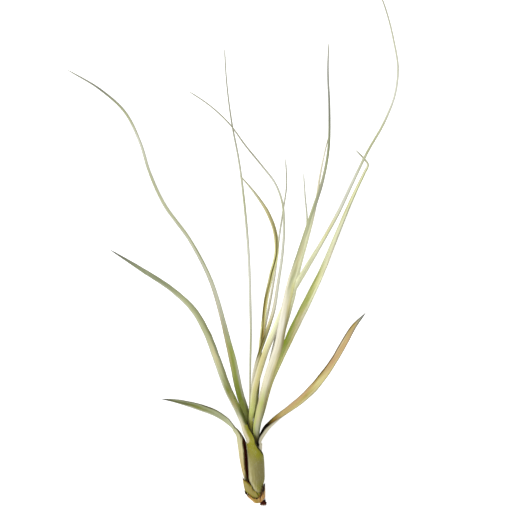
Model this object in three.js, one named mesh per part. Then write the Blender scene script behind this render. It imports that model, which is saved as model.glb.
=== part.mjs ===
// An air plant (a narrow-leaved Tillandsia) lying on its back on a flat surface.
//
// Millimetres. +X is to the plant's right, +Y runs from its broken foot to its
// leaf tips and +Z is up from the surface. All points below are measured from
// FOOT, the lowest point of the foot as it is seen from above, at Z = 0 on the
// surface. The group moves them so that the middle of the underside of the
// whole plant's box is the origin.
//
// The plant is a short stem, two old leaf bases round its foot, and 13 leaves.
// A leaf and its sheath are one piece: a strip that is an arc across, wrapped
// round the stem at its root and nearly flat further out.

import * as THREE from "three";
import { mergeVertices } from "three/addons/utils/BufferGeometryUtils.js";

// ---- driving dimensions ----

const BLADE_THICKNESS = 0.62;   // all leaves, measured across the strip
const FINEST_WIDTH = 0.62;      // the width that a leaf's tip ends with
const SHEATH_THICKNESS = 0.6;   // the two old leaf bases
const STATION_LENGTH = 6.5;     // most distance between two cross-sections of a leaf
const STATION_TURN = 14;        // most degrees that a sheath's edge moves between them
const RING_SIDES = 28;          // sides round the stem and the old leaf bases

// Where the origin lies: the middle of the underside of the plant's box.
const BOX_MIDDLE = { x: -17.25, y: 142.46, z: 0 };

// The axis of the stem, from the foot to the heart of the rosette.
const STEM_AXIS = [
  [0.8, -1.2, 4.3],
  [0.7, 0.4, 4.4],
  [-0.8, 2.0, 4.6],
  [-1.8, 3.4, 4.8],
  [-2.5, 7.5, 5.3],
  [-3.0, 12.0, 6.0],
  [-3.3, 18.5, 6.9],
  [-3.7, 26.5, 7.9],
  [-4.35, 35.0, 9.0],
  [-4.8, 41.5, 9.9],
];

// The stem's radius at a distance from its foot along Y.
const STEM_RADIUS = [
  [-1.2, 1.3],
  [-0.6, 1.8],
  [0.6, 1.9],
  [2.0, 1.4],
  [4.0, 1.2],
  [8.0, 1.7],
  [14.0, 2.1],
  [27.0, 2.1],
  [33.5, 1.6],
  [38.2, 1.2],
  [39.6, 0.7],
];

// ---- small helpers ----

const degrees = (value) => (value * Math.PI) / 180;

const mix = (a, b, t) => a + (b - a) * t;

/** The row of a table at a value of its column, straight between its rows. */
function rowAt(table, column, value) {
  let i = 0;
  while (i < table.length - 2 && table[i + 1][column] < value) {
    i += 1;
  }
  const span = table[i + 1][column] - table[i][column];
  const t = THREE.MathUtils.clamp((value - table[i][column]) / span, 0, 1);
  return table[i].map((entry, k) => mix(entry, table[i + 1][k], t));
}

/** The point of the stem's axis at a distance y from the foot. */
function axisAt(y) {
  const [x, , z] = rowAt(STEM_AXIS, 1, y);
  return { x, y, z };
}

/**
 * A closed mesh from rings of points that all have the same even number of
 * points and run the same way round. Each end is closed by a ladder of quads
 * between the ring's two halves, which suits a crescent as well as a circle.
 */
function skin(rings) {
  const count = rings[0].length;
  const positions = rings.flat(2);
  const faces = [];
  for (let r = 0; r < rings.length - 1; r += 1) {
    for (let k = 0; k < count; k += 1) {
      const next = (k + 1) % count;
      const a = r * count + k;
      const b = r * count + next;
      const c = (r + 1) * count + next;
      const d = (r + 1) * count + k;
      faces.push(a, b, c, a, c, d);
    }
  }
  const last = (rings.length - 1) * count;
  for (let k = 0; k < count / 2 - 1; k += 1) {
    const [a, b, c, d] = [k, k + 1, count - 2 - k, count - 1 - k];
    faces.push(a, c, b, a, d, c);
    faces.push(last + a, last + b, last + c, last + a, last + c, last + d);
  }
  return closedGeometry(positions, faces);
}

/** A geometry from positions and triangles, turned inside out if need be. */
function closedGeometry(positions, faces) {
  const geometry = new THREE.BufferGeometry();
  geometry.setAttribute("position", new THREE.Float32BufferAttribute(positions, 3));
  geometry.setIndex(signedVolume(positions, faces) < 0 ? faces.reverse() : faces);
  return mergeVertices(geometry, 1e-4);
}

function signedVolume(positions, faces) {
  const corner = (i) => new THREE.Vector3().fromArray(positions, 3 * i);
  let volume = 0;
  for (let i = 0; i < faces.length; i += 3) {
    const [a, b, c] = [corner(faces[i]), corner(faces[i + 1]), corner(faces[i + 2])];
    volume += a.dot(b.cross(c)) / 6;
  }
  return volume;
}

// ---- leaves ----
//
// A leaf is a list of stations [x, y, z, radius, left, right, face, hug]:
//   x, y, z      the middle of the cross-section, or the sheath's axis
//   radius       of the arc that the cross-section follows on the leaf's back
//   left, right  degrees of that arc on either side of the midrib
//   face         where the leaf's back points: 0 up, 90 to the right of the
//                way that the leaf grows, 180 down
//   hug          1 where x, y, z is the axis of the arc, 0 where it is the
//                middle of the blade

/** A station of a sheath wrapped round the stem's axis, moved by (dx, dz). */
function sheath(y, dx, dz, radius, left, right, face) {
  const axis = axisAt(y);
  return [axis.x + dx, y, axis.z + dz, radius, left, right, face, 1];
}

/** A station of a blade of a given width, folded by an angle each side. */
function blade(x, y, z, width, fold, face) {
  const radius = width / (2 * Math.sin(degrees(fold)));
  return [x, y, z, radius, fold, fold, face, 0];
}

/** Distances along the stations from the first one. */
function knots(stations) {
  const at = [0];
  for (let i = 1; i < stations.length; i += 1) {
    const a = new THREE.Vector3(...stations[i - 1]);
    const b = new THREE.Vector3(...stations[i]);
    at.push(at[i - 1] + a.distanceTo(b));
  }
  return at;
}

/** The slope of each column at each station, for a cubic through them. */
function slopes(stations, at) {
  const last = stations.length - 1;
  const secant = (i, k) => (stations[i + 1][k] - stations[i][k]) / (at[i + 1] - at[i]);
  return stations.map((station, i) => station.map((_, k) => {
    if (i === 0) {
      return secant(0, k);
    }
    if (i === last) {
      return secant(last - 1, k);
    }
    const before = at[i] - at[i - 1];
    const after = at[i + 1] - at[i];
    return (secant(i - 1, k) * after + secant(i, k) * before) / (before + after);
  }));
}

/** How many steps a leaf needs between two stations. */
function stepsBetween(from, to, distance) {
  const turn = Math.max(Math.abs(to[4] - from[4]), Math.abs(to[5] - from[5]));
  return Math.ceil(Math.max(distance / STATION_LENGTH, turn / STATION_TURN));
}

/** The stations of a leaf with others between, on a cubic through them. */
function fineStations(stations) {
  const at = knots(stations);
  const slope = slopes(stations, at);
  const fine = [];
  for (let i = 0; i < stations.length - 1; i += 1) {
    const span = at[i + 1] - at[i];
    const steps = stepsBetween(stations[i], stations[i + 1], span);
    for (let n = 0; n < steps; n += 1) {
      const t = n / steps;
      const t2 = t * t;
      const t3 = t2 * t;
      fine.push(stations[i].map((value, k) => (
        value * (2 * t3 - 3 * t2 + 1)
        + slope[i][k] * span * (t3 - 2 * t2 + t)
        + stations[i + 1][k] * (3 * t2 - 2 * t3)
        + slope[i + 1][k] * span * (t3 - t2)
      )));
    }
  }
  fine.push(stations[stations.length - 1]);
  return fine;
}

/**
 * The ring of points round a leaf's cross-section at one station. Where the
 * leaf lies on the surface, its back is pressed flat against it.
 */
function leafRing(station, along, across, thickness) {
  const [x, y, z, radius, left, right, face, hug] = station;
  const side = new THREE.Vector3().crossVectors(along, new THREE.Vector3(0, 0, 1)).normalize();
  const up = new THREE.Vector3().crossVectors(side, along);
  const turn = degrees(face);
  const back = up.clone().multiplyScalar(Math.cos(turn)).addScaledVector(side, Math.sin(turn));
  const over = side.clone().multiplyScalar(Math.cos(turn)).addScaledVector(up, -Math.sin(turn));
  const fold = degrees((left + right) / 2);
  const depth = (radius * (1 - Math.cos(Math.min(fold, Math.PI / 2)))) / 2;
  const centre = new THREE.Vector3(x, y, z).addScaledVector(back, mix(depth - radius, 0, hug));
  const point = (turnAcross, r) => centre.clone()
    .addScaledVector(over, r * Math.sin(turnAcross))
    .addScaledVector(back, r * Math.cos(turnAcross))
    .toArray();
  const outer = [];
  const inner = [];
  for (let k = 0; k <= across; k += 1) {
    const turnAcross = mix(-degrees(left), degrees(right), k / across);
    const [outerX, outerY, outerZ] = point(turnAcross, radius);
    outer.push([outerX, outerY, Math.max(outerZ, 0)]);
    inner.push(point(turnAcross, radius - thickness));
  }
  return [...outer, ...inner.reverse()];
}

/** A leaf's solid. */
function leaf(stations, across) {
  const fine = fineStations(stations);
  const rings = fine.map((station, i) => {
    const before = new THREE.Vector3(...fine[Math.max(i - 1, 0)]);
    const after = new THREE.Vector3(...fine[Math.min(i + 1, fine.length - 1)]);
    const along = after.sub(before).normalize();
    return leafRing(station, along, across, BLADE_THICKNESS);
  });
  return skin(rings);
}

/** The front left leaf, whose sheath is the front of the tube at the base. */
function leftArchLeaf() {
  return leaf([
    sheath(6.2, 0.4, 0.1, 2.7, 40, 80, 0),
    sheath(9.6, 0.1, 0.1, 3.3, 60, 110, 0),
    sheath(13.2, 0.15, 0.1, 4.35, 80, 130, -3),
    sheath(18.4, 0.2, 0.1, 4.6, 86, 138, -6),
    sheath(23.5, 0.2, 0.2, 4.6, 84, 125, -9),
    sheath(27.5, 0.1, 0.3, 4.55, 78, 88, -13),
    sheath(31.5, -0.1, 0.6, 4.45, 72, 56, -19),
    sheath(35.5, -0.2, 0.8, 4.45, 66, 38, -26),
    blade(-9.0, 41.0, 12.8, 5.1, 58, -33),
    blade(-10.6, 46.0, 14.3, 4.9, 55, -33),
    blade(-13.0, 51.6, 16.0, 4.7, 52, -30),
    blade(-18.8, 63.6, 18.2, 4.8, 48, -26),
    blade(-24.8, 80.2, 20.7, 4.6, 46, -24),
    blade(-31.1, 96.6, 22.4, 4.1, 44, -22),
    blade(-37.6, 107.8, 23.2, 3.7, 42, -22),
    blade(-49.1, 118.9, 23.4, 3.1, 42, -22),
    blade(-65.9, 130.1, 22.4, 2.6, 40, -20),
    blade(-83.6, 141.2, 20.0, FINEST_WIDTH, 35, -20),
  ], 14);
}

/** The short leaf that bends left, with a sheath that stands off the tube. */
function lowerLeftLeaf() {
  return leaf([
    sheath(10.4, -3.7, 0.3, 2.45, 90, 60, -92),
    sheath(13.8, -4.05, 0.2, 2.65, 100, 66, -92),
    sheath(18.4, -4.65, 0.1, 3.15, 109, 70, -92),
    sheath(26.0, -5.1, 0, 3.85, 115, 78, -92),
    sheath(33.6, -5.7, -0.4, 3.7, 110, 84, -91),
    sheath(39.4, -6.6, -1.3, 3.45, 90, 78, -84),
    sheath(43.6, -9.8, -2.2, 3.1, 84, 62, -70),
    blade(-18.8, 45.1, 7.6, 4.9, 56, -54),
    blade(-25.1, 49.6, 7.0, 4.9, 48, -40),
    blade(-33.5, 53.0, 6.0, 4.6, 45, -32),
    blade(-42.5, 55.6, 5.0, 3.5, 42, -32),
    blade(-49.9, 57.3, 4.4, 2.1, 40, -35),
    blade(-56.1, 58.1, 4.0, FINEST_WIDTH, 35, -40),
  ], 10);
}

/** The tan leaf on the right, which shows its dark inner face at the root. */
function rightTanLeaf() {
  return leaf([
    sheath(14, 0.1, 0, 3.1, 76, 70, 95),
    sheath(20, 0.1, 0, 3.3, 78, 72, 95),
    sheath(26, 0.1, -0.1, 3.3, 78, 72, 96),
    sheath(31, 0.6, -0.5, 3.5, 74, 70, 98),
    sheath(34.5, 0.9, -0.6, 3.7, 70, 68, 101),
    blade(0.5, 38.7, 9.0, 5.8, 82, 102),
    blade(2.6, 41.9, 9.8, 5.8, 86, 104),
    blade(5.2, 44.6, 10.6, 5.6, 82, 108),
    blade(9.5, 48.4, 11.7, 5.4, 70, 116),
    blade(14.9, 52.5, 13.0, 5.2, 56, 128),
    blade(21.2, 57.6, 14.6, 5.1, 46, 142),
    blade(27.3, 63.4, 16.0, 5.2, 42, 150),
    blade(32.2, 69.2, 17.2, 5.0, 45, 154),
    blade(39.9, 80.3, 19.4, 4.0, 47, 162),
    blade(46.2, 91.4, 21.0, 3.8, 46, 166),
    blade(50.5, 98.8, 22.0, 2.9, 43, 168),
    blade(57.0, 106.5, 23.0, FINEST_WIDTH, 35, 168),
  ], 10);
}

/** The long leaf at the back left, with its channel facing up. */
function leftLongLeaf() {
  return leaf([
    sheath(14, 0, 0, 3.1, 55, 56, -127),
    sheath(20, 0, -0.1, 3.3, 56, 57, -127),
    sheath(28, 0, -0.2, 3.4, 54, 57, -128),
    sheath(34, -0.1, -0.5, 3.5, 50, 55, -132),
    blade(-7.4, 41.0, 8.0, 5.2, 52, -142),
    blade(-8.8, 49.6, 9.2, 4.5, 48, -155),
    blade(-12.3, 61.2, 9.6, 4.3, 44, -168),
    blade(-16.0, 78.8, 8.7, 4.1, 42, -176),
    blade(-19.0, 91.0, 7.6, 3.3, 42, -179),
    blade(-21.8, 102.2, 6.4, 2.8, 42, -180),
    blade(-28.6, 124.3, 4.2, 2.3, 42, -180),
    blade(-40.0, 146.4, 2.4, 2.0, 42, -180),
    blade(-55.35, 168.1, 0.9, 1.8, 42, -180),
    blade(-62.85, 184.8, 0.3, 1.6, 42, -180),
    blade(-68.1, 201.4, 0.15, 1.5, 42, -180),
    blade(-76.7, 218.5, 0.5, 1.4, 40, -180),
    blade(-90.4, 231.0, 1.9, 1.1, 38, -180),
    blade(-108.2, 241.6, 5.0, FINEST_WIDTH, 35, -180),
  ], 8);
}

/** The tall leaf in front, which shows its back. */
function centreFrontLeaf() {
  return leaf([
    sheath(35.0, 0.3, 0.1, 2.6, 38, 40, 20),
    blade(-3.0, 38.8, 12.2, 3.6, 50, 16),
    blade(-2.9, 42.3, 13.5, 4.2, 52, 8),
    blade(-2.3, 46.3, 15.0, 4.3, 50, 4),
    blade(-1.6, 50.3, 16.4, 4.3, 48, 0),
    blade(-0.7, 54.3, 17.6, 4.3, 46, -2),
    blade(1.4, 63.8, 20.5, 4.5, 45, -4),
    blade(4.9, 76.0, 24.5, 4.8, 44, -6),
    blade(8.6, 87.0, 28.0, 4.8, 42, -6),
    blade(11.5, 102.3, 33.0, 4.8, 42, -8),
    blade(15.6, 122.5, 40.0, 4.5, 42, -8),
    blade(21.0, 140.4, 46.0, 3.7, 42, -8),
    blade(27.4, 162.1, 52.5, 2.3, 42, -8),
    blade(32.5, 178.3, 57.5, 1.7, 42, -6),
    blade(35.5, 194.4, 62.0, 1.4, 42, -6),
    blade(36.0, 215.8, 67.0, 1.2, 42, -4),
    blade(35.1, 237.1, 71.0, 1.0, 40, -4),
    blade(35.4, 251.3, 73.0, FINEST_WIDTH, 35, -4),
  ], 8);
}

/** The green leaf at the back right, with its channel up and its tip bent. */
function rightGreenLeaf() {
  return leaf([
    sheath(35.5, 0.2, -0.2, 2.5, 34, 34, 152),
    blade(-2.8, 41.0, 7.2, 3.3, 46, 158),
    blade(-1.5, 46.4, 7.7, 3.3, 44, 166),
    blade(0.3, 52.6, 8.0, 3.3, 42, 174),
    blade(4.3, 67.1, 7.9, 3.4, 42, 180),
    blade(9.8, 80.2, 7.0, 3.9, 42, 180),
    blade(17.4, 96.7, 5.6, 4.7, 44, 180),
    blade(25.7, 113.4, 4.3, 4.5, 46, 180),
    blade(33.6, 129.8, 3.1, 3.5, 48, 180),
    blade(40.4, 146.2, 2.1, 2.8, 48, 180),
    blade(47.2, 162.7, 0.75, 2.2, 46, 180),
    blade(52.7, 175.0, 0.3, 1.7, 44, 180),
    blade(57.3, 184.6, 0.25, 1.4, 42, 180),
    blade(59.2, 188.9, 0.8, 1.2, 40, 180),
    blade(56.6, 192.6, 2.8, 1.0, 38, 180),
    blade(52.2, 197.0, 5.6, FINEST_WIDTH, 35, 180),
  ], 6);
}

/** The longest leaf, which leans out to the right and curls back at its tip. */
function topRightLongLeaf() {
  return leaf([
    sheath(37.0, -0.3, 0.2, 2.7, 21, 21, -52),
    blade(-6.65, 41.3, 11.9, 2.3, 40, -28),
    blade(-6.4, 45.3, 13.1, 2.6, 42, -16),
    blade(-6.0, 49.8, 14.7, 2.8, 42, -8),
    blade(-5.4, 53.8, 16.0, 3.1, 42, -4),
    blade(-4.4, 63.4, 18.0, 3.3, 42, -4),
    blade(-2.2, 72.0, 20.0, 3.5, 42, -4),
    blade(2.1, 85.5, 23.0, 3.4, 42, -4),
    blade(8.0, 99.7, 26.5, 3.3, 42, -4),
    blade(13.8, 113.3, 30.0, 3.2, 42, -4),
    blade(23.0, 129.3, 34.0, 3.0, 42, -4),
    blade(32.8, 145.8, 38.0, 2.2, 42, -4),
    blade(41.7, 162.1, 42.0, 2.1, 42, -4),
    blade(49.2, 178.1, 45.5, 1.7, 42, -4),
    blade(57.1, 194.4, 49.0, 1.4, 42, -4),
    blade(66.1, 210.4, 52.0, 1.3, 42, -4),
    blade(72.0, 226.3, 54.5, 1.2, 42, -4),
    blade(73.3, 239.1, 56.0, 1.1, 42, -4),
    blade(71.1, 253.2, 57.5, 1.0, 40, -4),
    blade(65.2, 274.7, 59.0, 0.8, 38, -4),
    blade(60.4, 286.0, 59.5, FINEST_WIDTH, 35, -4),
  ], 6);
}

/** The gold-brown leaf of the heart, which bends back over to the left. */
function brownGoldLeaf() {
  return leaf([
    blade(-3.9, 40.6, 11.1, 1.2, 40, 180),
    blade(-3.6, 46.6, 12.1, 1.3, 40, 180),
    blade(-2.7, 58.1, 13.9, 1.5, 40, 180),
    blade(-1.6, 73.6, 16.0, 1.8, 40, 180),
    blade(-1.0, 85.7, 17.9, 2.0, 42, 180),
    blade(0.5, 99.4, 20.4, 2.2, 44, 180),
    blade(2.4, 114.8, 23.4, 2.3, 44, 180),
    blade(5.1, 127.4, 26.5, 2.4, 44, 180),
    blade(8.0, 140.4, 29.5, 2.3, 44, 180),
    blade(7.2, 150.7, 32.0, 2.2, 44, 180),
    blade(3.3, 161.4, 34.5, 2.0, 44, 180),
    blade(-2.2, 170.0, 36.5, 1.5, 42, 180),
    blade(-11.9, 181.8, 39.0, FINEST_WIDTH, 35, 180),
  ], 4);
}

/** The thin straight leaf of the heart. */
function thinStraightLeaf() {
  return leaf([
    blade(-6.5, 40.6, 10.0, 1.0, 40, 180),
    blade(-6.7, 47.6, 10.6, 1.1, 40, 180),
    blade(-6.7, 61.0, 12.6, 1.1, 40, 180),
    blade(-6.5, 77.5, 14.6, 1.1, 40, 180),
    blade(-6.2, 94.1, 16.4, 1.2, 42, 180),
    blade(-6.5, 113.3, 18.4, 1.4, 44, 180),
    blade(-7.2, 135.3, 20.4, 1.4, 44, 180),
    blade(-9.3, 162.8, 22.6, 1.3, 42, 180),
    blade(-12.7, 190.2, 24.5, 1.1, 40, 180),
    blade(-16.8, 212.1, 26.0, 0.9, 38, 180),
    blade(-19.5, 234.0, 27.5, 0.7, 36, 180),
    blade(-20.6, 251.5, 29.0, FINEST_WIDTH, 35, 180),
  ], 4);
}

/** The thin leaf of the heart that arcs over to the left. */
function thinArcLeaf() {
  return leaf([
    blade(-5.5, 40.6, 10.8, 1.1, 40, 180),
    blade(-5.5, 47.6, 11.35, 1.2, 40, 180),
    blade(-5.5, 58.1, 14.0, 1.6, 40, 180),
    blade(-4.2, 73.6, 16.6, 1.9, 40, 180),
    blade(-0.9, 85.7, 19.7, 2.0, 42, 180),
    blade(2.9, 96.7, 22.2, 2.1, 42, 180),
    blade(6.3, 107.8, 24.6, 2.0, 42, 180),
    blade(9.0, 124.2, 28.0, 1.7, 42, 180),
    blade(11.0, 137.8, 30.6, 1.5, 42, 180),
    blade(12.0, 154.2, 33.2, 1.3, 42, 180),
    blade(10.9, 167.9, 35.5, 1.2, 42, 180),
    blade(7.1, 177.7, 37.5, 1.1, 42, 180),
    blade(0.3, 186.7, 39.0, 1.0, 40, 180),
    blade(-8.7, 197.7, 40.0, 0.9, 40, 180),
    blade(-18.2, 210.4, 41.0, 0.8, 38, 180),
    blade(-29.7, 220.8, 42.0, 0.7, 36, 180),
    blade(-39.4, 227.3, 42.5, FINEST_WIDTH, 35, 180),
  ], 4);
}

/** The thin grey-tipped leaf between the arc and the front leaf. */
function greyTipLeaf() {
  return leaf([
    blade(-4.6, 40.6, 10.0, 1.0, 40, 180),
    blade(-3.6, 58.1, 12.2, 1.2, 40, 180),
    blade(-1.6, 79.1, 14.6, 1.3, 40, 180),
    blade(1.3, 96.8, 17.0, 1.4, 40, 180),
    blade(4.2, 111.6, 19.2, 1.4, 40, 180),
    blade(7.1, 128.6, 21.8, 1.3, 40, 180),
    blade(9.5, 149.0, 25.0, 1.1, 40, 180),
    blade(11.6, 163.2, 27.5, 0.9, 40, 180),
    blade(13.4, 176.3, 30.0, 0.8, 38, 180),
    blade(12.9, 191.1, 33.0, FINEST_WIDTH, 35, 180),
  ], 4);
}

/** The thin grey-tipped leaf close to the front leaf. */
function greyTipRightLeaf() {
  return leaf([
    blade(-3.0, 40.6, 10.2, 1.1, 40, 180),
    blade(-1.5, 52.0, 12.6, 1.3, 40, 180),
    blade(1.4, 66.0, 15.6, 1.5, 40, 180),
    blade(4.6, 80.0, 18.8, 1.6, 40, 180),
    blade(8.2, 95.0, 22.4, 1.6, 40, 180),
    blade(12.2, 110.0, 26.2, 1.6, 40, 180),
    blade(17.0, 126.0, 30.0, 1.4, 40, 180),
    blade(21.8, 141.0, 33.4, 1.2, 40, 180),
    blade(24.5, 154.1, 35.8, 1.0, 40, 180),
    blade(23.4, 171.5, 38.2, 0.8, 38, 180),
    blade(22.6, 183.1, 39.6, FINEST_WIDTH, 35, 180),
  ], 4);
}

/** The thin pale leaf behind the front leaf. */
function behindCentreLeaf() {
  return leaf([
    blade(-1.7, 40.8, 9.6, 1.1, 40, 180),
    blade(0.6, 54.0, 11.4, 1.5, 40, 180),
    blade(4.2, 68.0, 13.4, 1.8, 40, 180),
    blade(8.4, 83.0, 16.0, 2.0, 40, 180),
    blade(12.8, 99.0, 19.2, 2.0, 40, 180),
    blade(17.2, 115.0, 22.8, 2.0, 40, 180),
    blade(20.8, 132.4, 26.8, 1.8, 40, 180),
    blade(24.8, 147.0, 30.4, 1.6, 40, 180),
    blade(29.0, 164.0, 34.6, 1.3, 40, 180),
    blade(31.5, 181.0, 38.4, 1.1, 40, 180),
    blade(33.4, 191.2, 40.8, 0.9, 38, 180),
    blade(36.2, 203.0, 43.0, FINEST_WIDTH, 35, 180),
  ], 4);
}

// ---- stem and old leaf bases ----

/** The stem: rings square to Y round its axis, with a chewed broken foot. */
function stem() {
  const rings = STEM_RADIUS.map(([y, radius]) => {
    const axis = axisAt(y);
    const ring = [];
    for (let k = 0; k < RING_SIDES; k += 1) {
      const turn = (2 * Math.PI * k) / RING_SIDES;
      ring.push([axis.x + radius * Math.sin(turn), y, axis.z + radius * Math.cos(turn)]);
    }
    return ring;
  });
  return skin(rings);
}

/**
 * An old leaf base: an open bowl whose wall goes through oval levels
 * [y, x, z, half width, half height]. Its edge at the foot and its rim [turn, y]
 * rise and fall round it. Turn 0 faces up and 90 is the right-hand side.
 */
function bowl(levels, foot, rim) {
  const steps = 5;
  const rings = [];
  for (let k = 0; k < RING_SIDES; k += 1) {
    const turn = (360 * k) / RING_SIDES;
    const bottom = rowAt(foot, 0, turn)[1];
    const top = rowAt(rim, 0, turn)[1];
    const outer = [];
    const inner = [];
    for (let n = 0; n <= steps; n += 1) {
      const y = mix(bottom, top, n / steps);
      const [, x, z, wide, high] = rowAt(levels, 0, y);
      const wall = (offset) => [
        x + (wide - offset) * Math.sin(degrees(turn)),
        y,
        Math.max(z + (high - offset) * Math.cos(degrees(turn)), offset),
      ];
      outer.push(wall(0));
      inner.push(wall(SHEATH_THICKNESS));
    }
    rings.push([...outer, ...inner.reverse()]);
  }
  return closedLoop(rings);
}

/** A closed mesh from rings that themselves close on each other. */
function closedLoop(rings) {
  const count = rings[0].length;
  const positions = rings.flat(2);
  const faces = [];
  rings.forEach((_, r) => {
    const after = (r + 1) % rings.length;
    for (let k = 0; k < count; k += 1) {
      const next = (k + 1) % count;
      const a = r * count + k;
      const b = r * count + next;
      const c = after * count + next;
      const d = after * count + k;
      faces.push(a, b, c, a, c, d);
    }
  });
  return closedGeometry(positions, faces);
}

/** The olive cup, with its ear at the left. */
function oliveCup() {
  return bowl([
    [2.6, -2.6, 5.0, 2.6, 2.6],
    [4.1, -3.1, 5.1, 3.8, 4.1],
    [7.4, -4.5, 5.3, 5.1, 5.25],
    [10.1, -4.6, 5.6, 5.6, 5.6],
    [14.6, -4.9, 6.2, 5.95, 5.9],
  ], [
    [0, 3.2],
    [90, 3.6],
    [180, 3.2],
    [270, 3.0],
    [360, 3.2],
  ], [
    [0, 7.3],
    [30, 6.2],
    [60, 5.5],
    [90, 5.6],
    [130, 7.6],
    [180, 10.5],
    [225, 12.2],
    [255, 14.0],
    [270, 14.9],
    [304, 13.4],
    [322, 11.7],
    [338, 9.9],
    [350, 8.2],
    [360, 7.3],
  ]);
}

/** The papery collar, with a low left tip and a tall ear at the right. */
function footCollar() {
  return bowl([
    [0.2, -2.4, 4.8, 2.0, 2.6],
    [1.2, -2.2, 4.8, 3.0, 3.7],
    [2.4, -2.6, 4.9, 4.0, 4.6],
    [3.5, -3.0, 4.95, 4.85, 4.95],
    [5.7, -3.7, 5.2, 5.55, 5.4],
    [10.8, -4.3, 5.8, 5.95, 5.9],
  ], [
    [0, 0.3],
    [30, 0.9],
    [60, 2.6],
    [90, 3.6],
    [135, 2.4],
    [180, 1.2],
    [270, 0.6],
    [330, 0.2],
    [360, 0.3],
  ], [
    [0, 3.0],
    [17, 3.3],
    [38, 5.7],
    [48, 7.6],
    [62, 9.5],
    [72, 10.8],
    [90, 9.6],
    [110, 7.4],
    [150, 4.6],
    [190, 3.8],
    [240, 4.6],
    [264, 5.8],
    [278, 6.5],
    [304, 5.0],
    [320, 4.2],
    [331, 3.1],
    [345, 2.8],
    [360, 3.0],
  ]);
}

// ---- the plant ----

const COLOUR = {
  wood: "#4a1f10",
  paper: "#b08d50",
  oldOlive: "#8f8a4c",
  silver: "#b4b796",
  green: "#8f9a52",
  sage: "#9aa07a",
  tan: "#c0a86a",
  lime: "#b9bd78",
  gold: "#786c34",
  grey: "#adae98",
};

/** A named mesh with a dull surface of one colour. */
function piece(name, geometry, colour, roughness) {
  const material = new THREE.MeshStandardMaterial({ color: colour, roughness, metalness: 0 });
  const mesh = new THREE.Mesh(geometry, material);
  mesh.name = name;
  mesh.position.set(-BOX_MIDDLE.x, -BOX_MIDDLE.y, -BOX_MIDDLE.z);
  return mesh;
}

const plant = new THREE.Group();
plant.add(piece("stem", stem(), COLOUR.wood, 0.9));
plant.add(piece("foot_collar", footCollar(), COLOUR.paper, 0.85));
plant.add(piece("olive_cup", oliveCup(), COLOUR.oldOlive, 0.7));
plant.add(piece("leaf_left_arch", leftArchLeaf(), COLOUR.silver, 0.7));
plant.add(piece("leaf_lower_left", lowerLeftLeaf(), COLOUR.sage, 0.7));
plant.add(piece("leaf_right_tan", rightTanLeaf(), COLOUR.tan, 0.7));
plant.add(piece("leaf_left_long", leftLongLeaf(), COLOUR.green, 0.7));
plant.add(piece("leaf_centre_front", centreFrontLeaf(), COLOUR.silver, 0.7));
plant.add(piece("leaf_top_right_long", topRightLongLeaf(), COLOUR.lime, 0.7));
plant.add(piece("leaf_right_green", rightGreenLeaf(), COLOUR.green, 0.7));
plant.add(piece("leaf_brown_gold", brownGoldLeaf(), COLOUR.gold, 0.7));
plant.add(piece("leaf_thin_straight", thinStraightLeaf(), COLOUR.sage, 0.7));
plant.add(piece("leaf_thin_arc", thinArcLeaf(), COLOUR.lime, 0.7));
plant.add(piece("leaf_grey_tip", greyTipLeaf(), COLOUR.grey, 0.7));
plant.add(piece("leaf_grey_tip_right", greyTipRightLeaf(), COLOUR.grey, 0.7));
plant.add(piece("leaf_behind_centre", behindCentreLeaf(), COLOUR.lime, 0.7));

export default plant;
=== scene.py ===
"""A narrow-leaved air plant as picked, lying on its back on a white table and seen from above.

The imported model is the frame. Each of its pieces is replaced by a finer one of the same form:
leaves with thin margins, scaly skins and dry tips, two old leaf bases with torn rims, and a woody
foot with a broken end. The leaves have short pale hairs, the collar's rim has torn fibres, and the
foot has splinters.

Points in the tables are millimetres from FOOT, the lowest point of the foot as it is seen from
above, at z = 0 on the table. Meshes are metres from the frame's origin.
"""

import logging
from dataclasses import astuple, dataclass, field
from enum import Enum

import bpy
import numpy as np
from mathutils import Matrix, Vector


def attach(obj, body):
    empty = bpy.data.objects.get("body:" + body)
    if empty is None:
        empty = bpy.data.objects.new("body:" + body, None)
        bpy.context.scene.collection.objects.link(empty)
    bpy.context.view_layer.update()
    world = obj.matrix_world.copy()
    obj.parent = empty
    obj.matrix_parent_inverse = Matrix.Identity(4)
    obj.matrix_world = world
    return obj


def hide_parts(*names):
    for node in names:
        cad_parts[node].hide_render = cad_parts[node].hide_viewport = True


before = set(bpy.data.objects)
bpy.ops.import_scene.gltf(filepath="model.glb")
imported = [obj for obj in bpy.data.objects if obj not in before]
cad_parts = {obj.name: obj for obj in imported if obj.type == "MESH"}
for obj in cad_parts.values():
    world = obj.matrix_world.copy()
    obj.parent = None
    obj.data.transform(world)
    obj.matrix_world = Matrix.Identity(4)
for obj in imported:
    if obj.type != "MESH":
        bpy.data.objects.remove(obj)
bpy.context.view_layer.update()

LOG = logging.getLogger("air_plant")

Array = np.ndarray
Socket = bpy.types.NodeSocket
Station = tuple[float, float, float, float, float, float, float, float]

MM = 0.001
MIDDLE = np.array([-17.25, 142.46, 0.0])    # the frame's origin, measured from FOOT

# The axis of the stem, from the broken foot to the heart of the rosette: rows of x, y, z.
STEM_AXIS = np.array([
    (0.8, -1.2, 4.3),
    (0.7, 0.4, 4.4),
    (-0.8, 2.0, 4.6),
    (-1.8, 3.4, 4.8),
    (-2.5, 7.5, 5.3),
    (-3.0, 12.0, 6.0),
    (-3.3, 18.5, 6.9),
    (-3.7, 26.5, 7.9),
    (-4.35, 35.0, 9.0),
    (-4.8, 41.5, 9.9),
])

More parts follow.
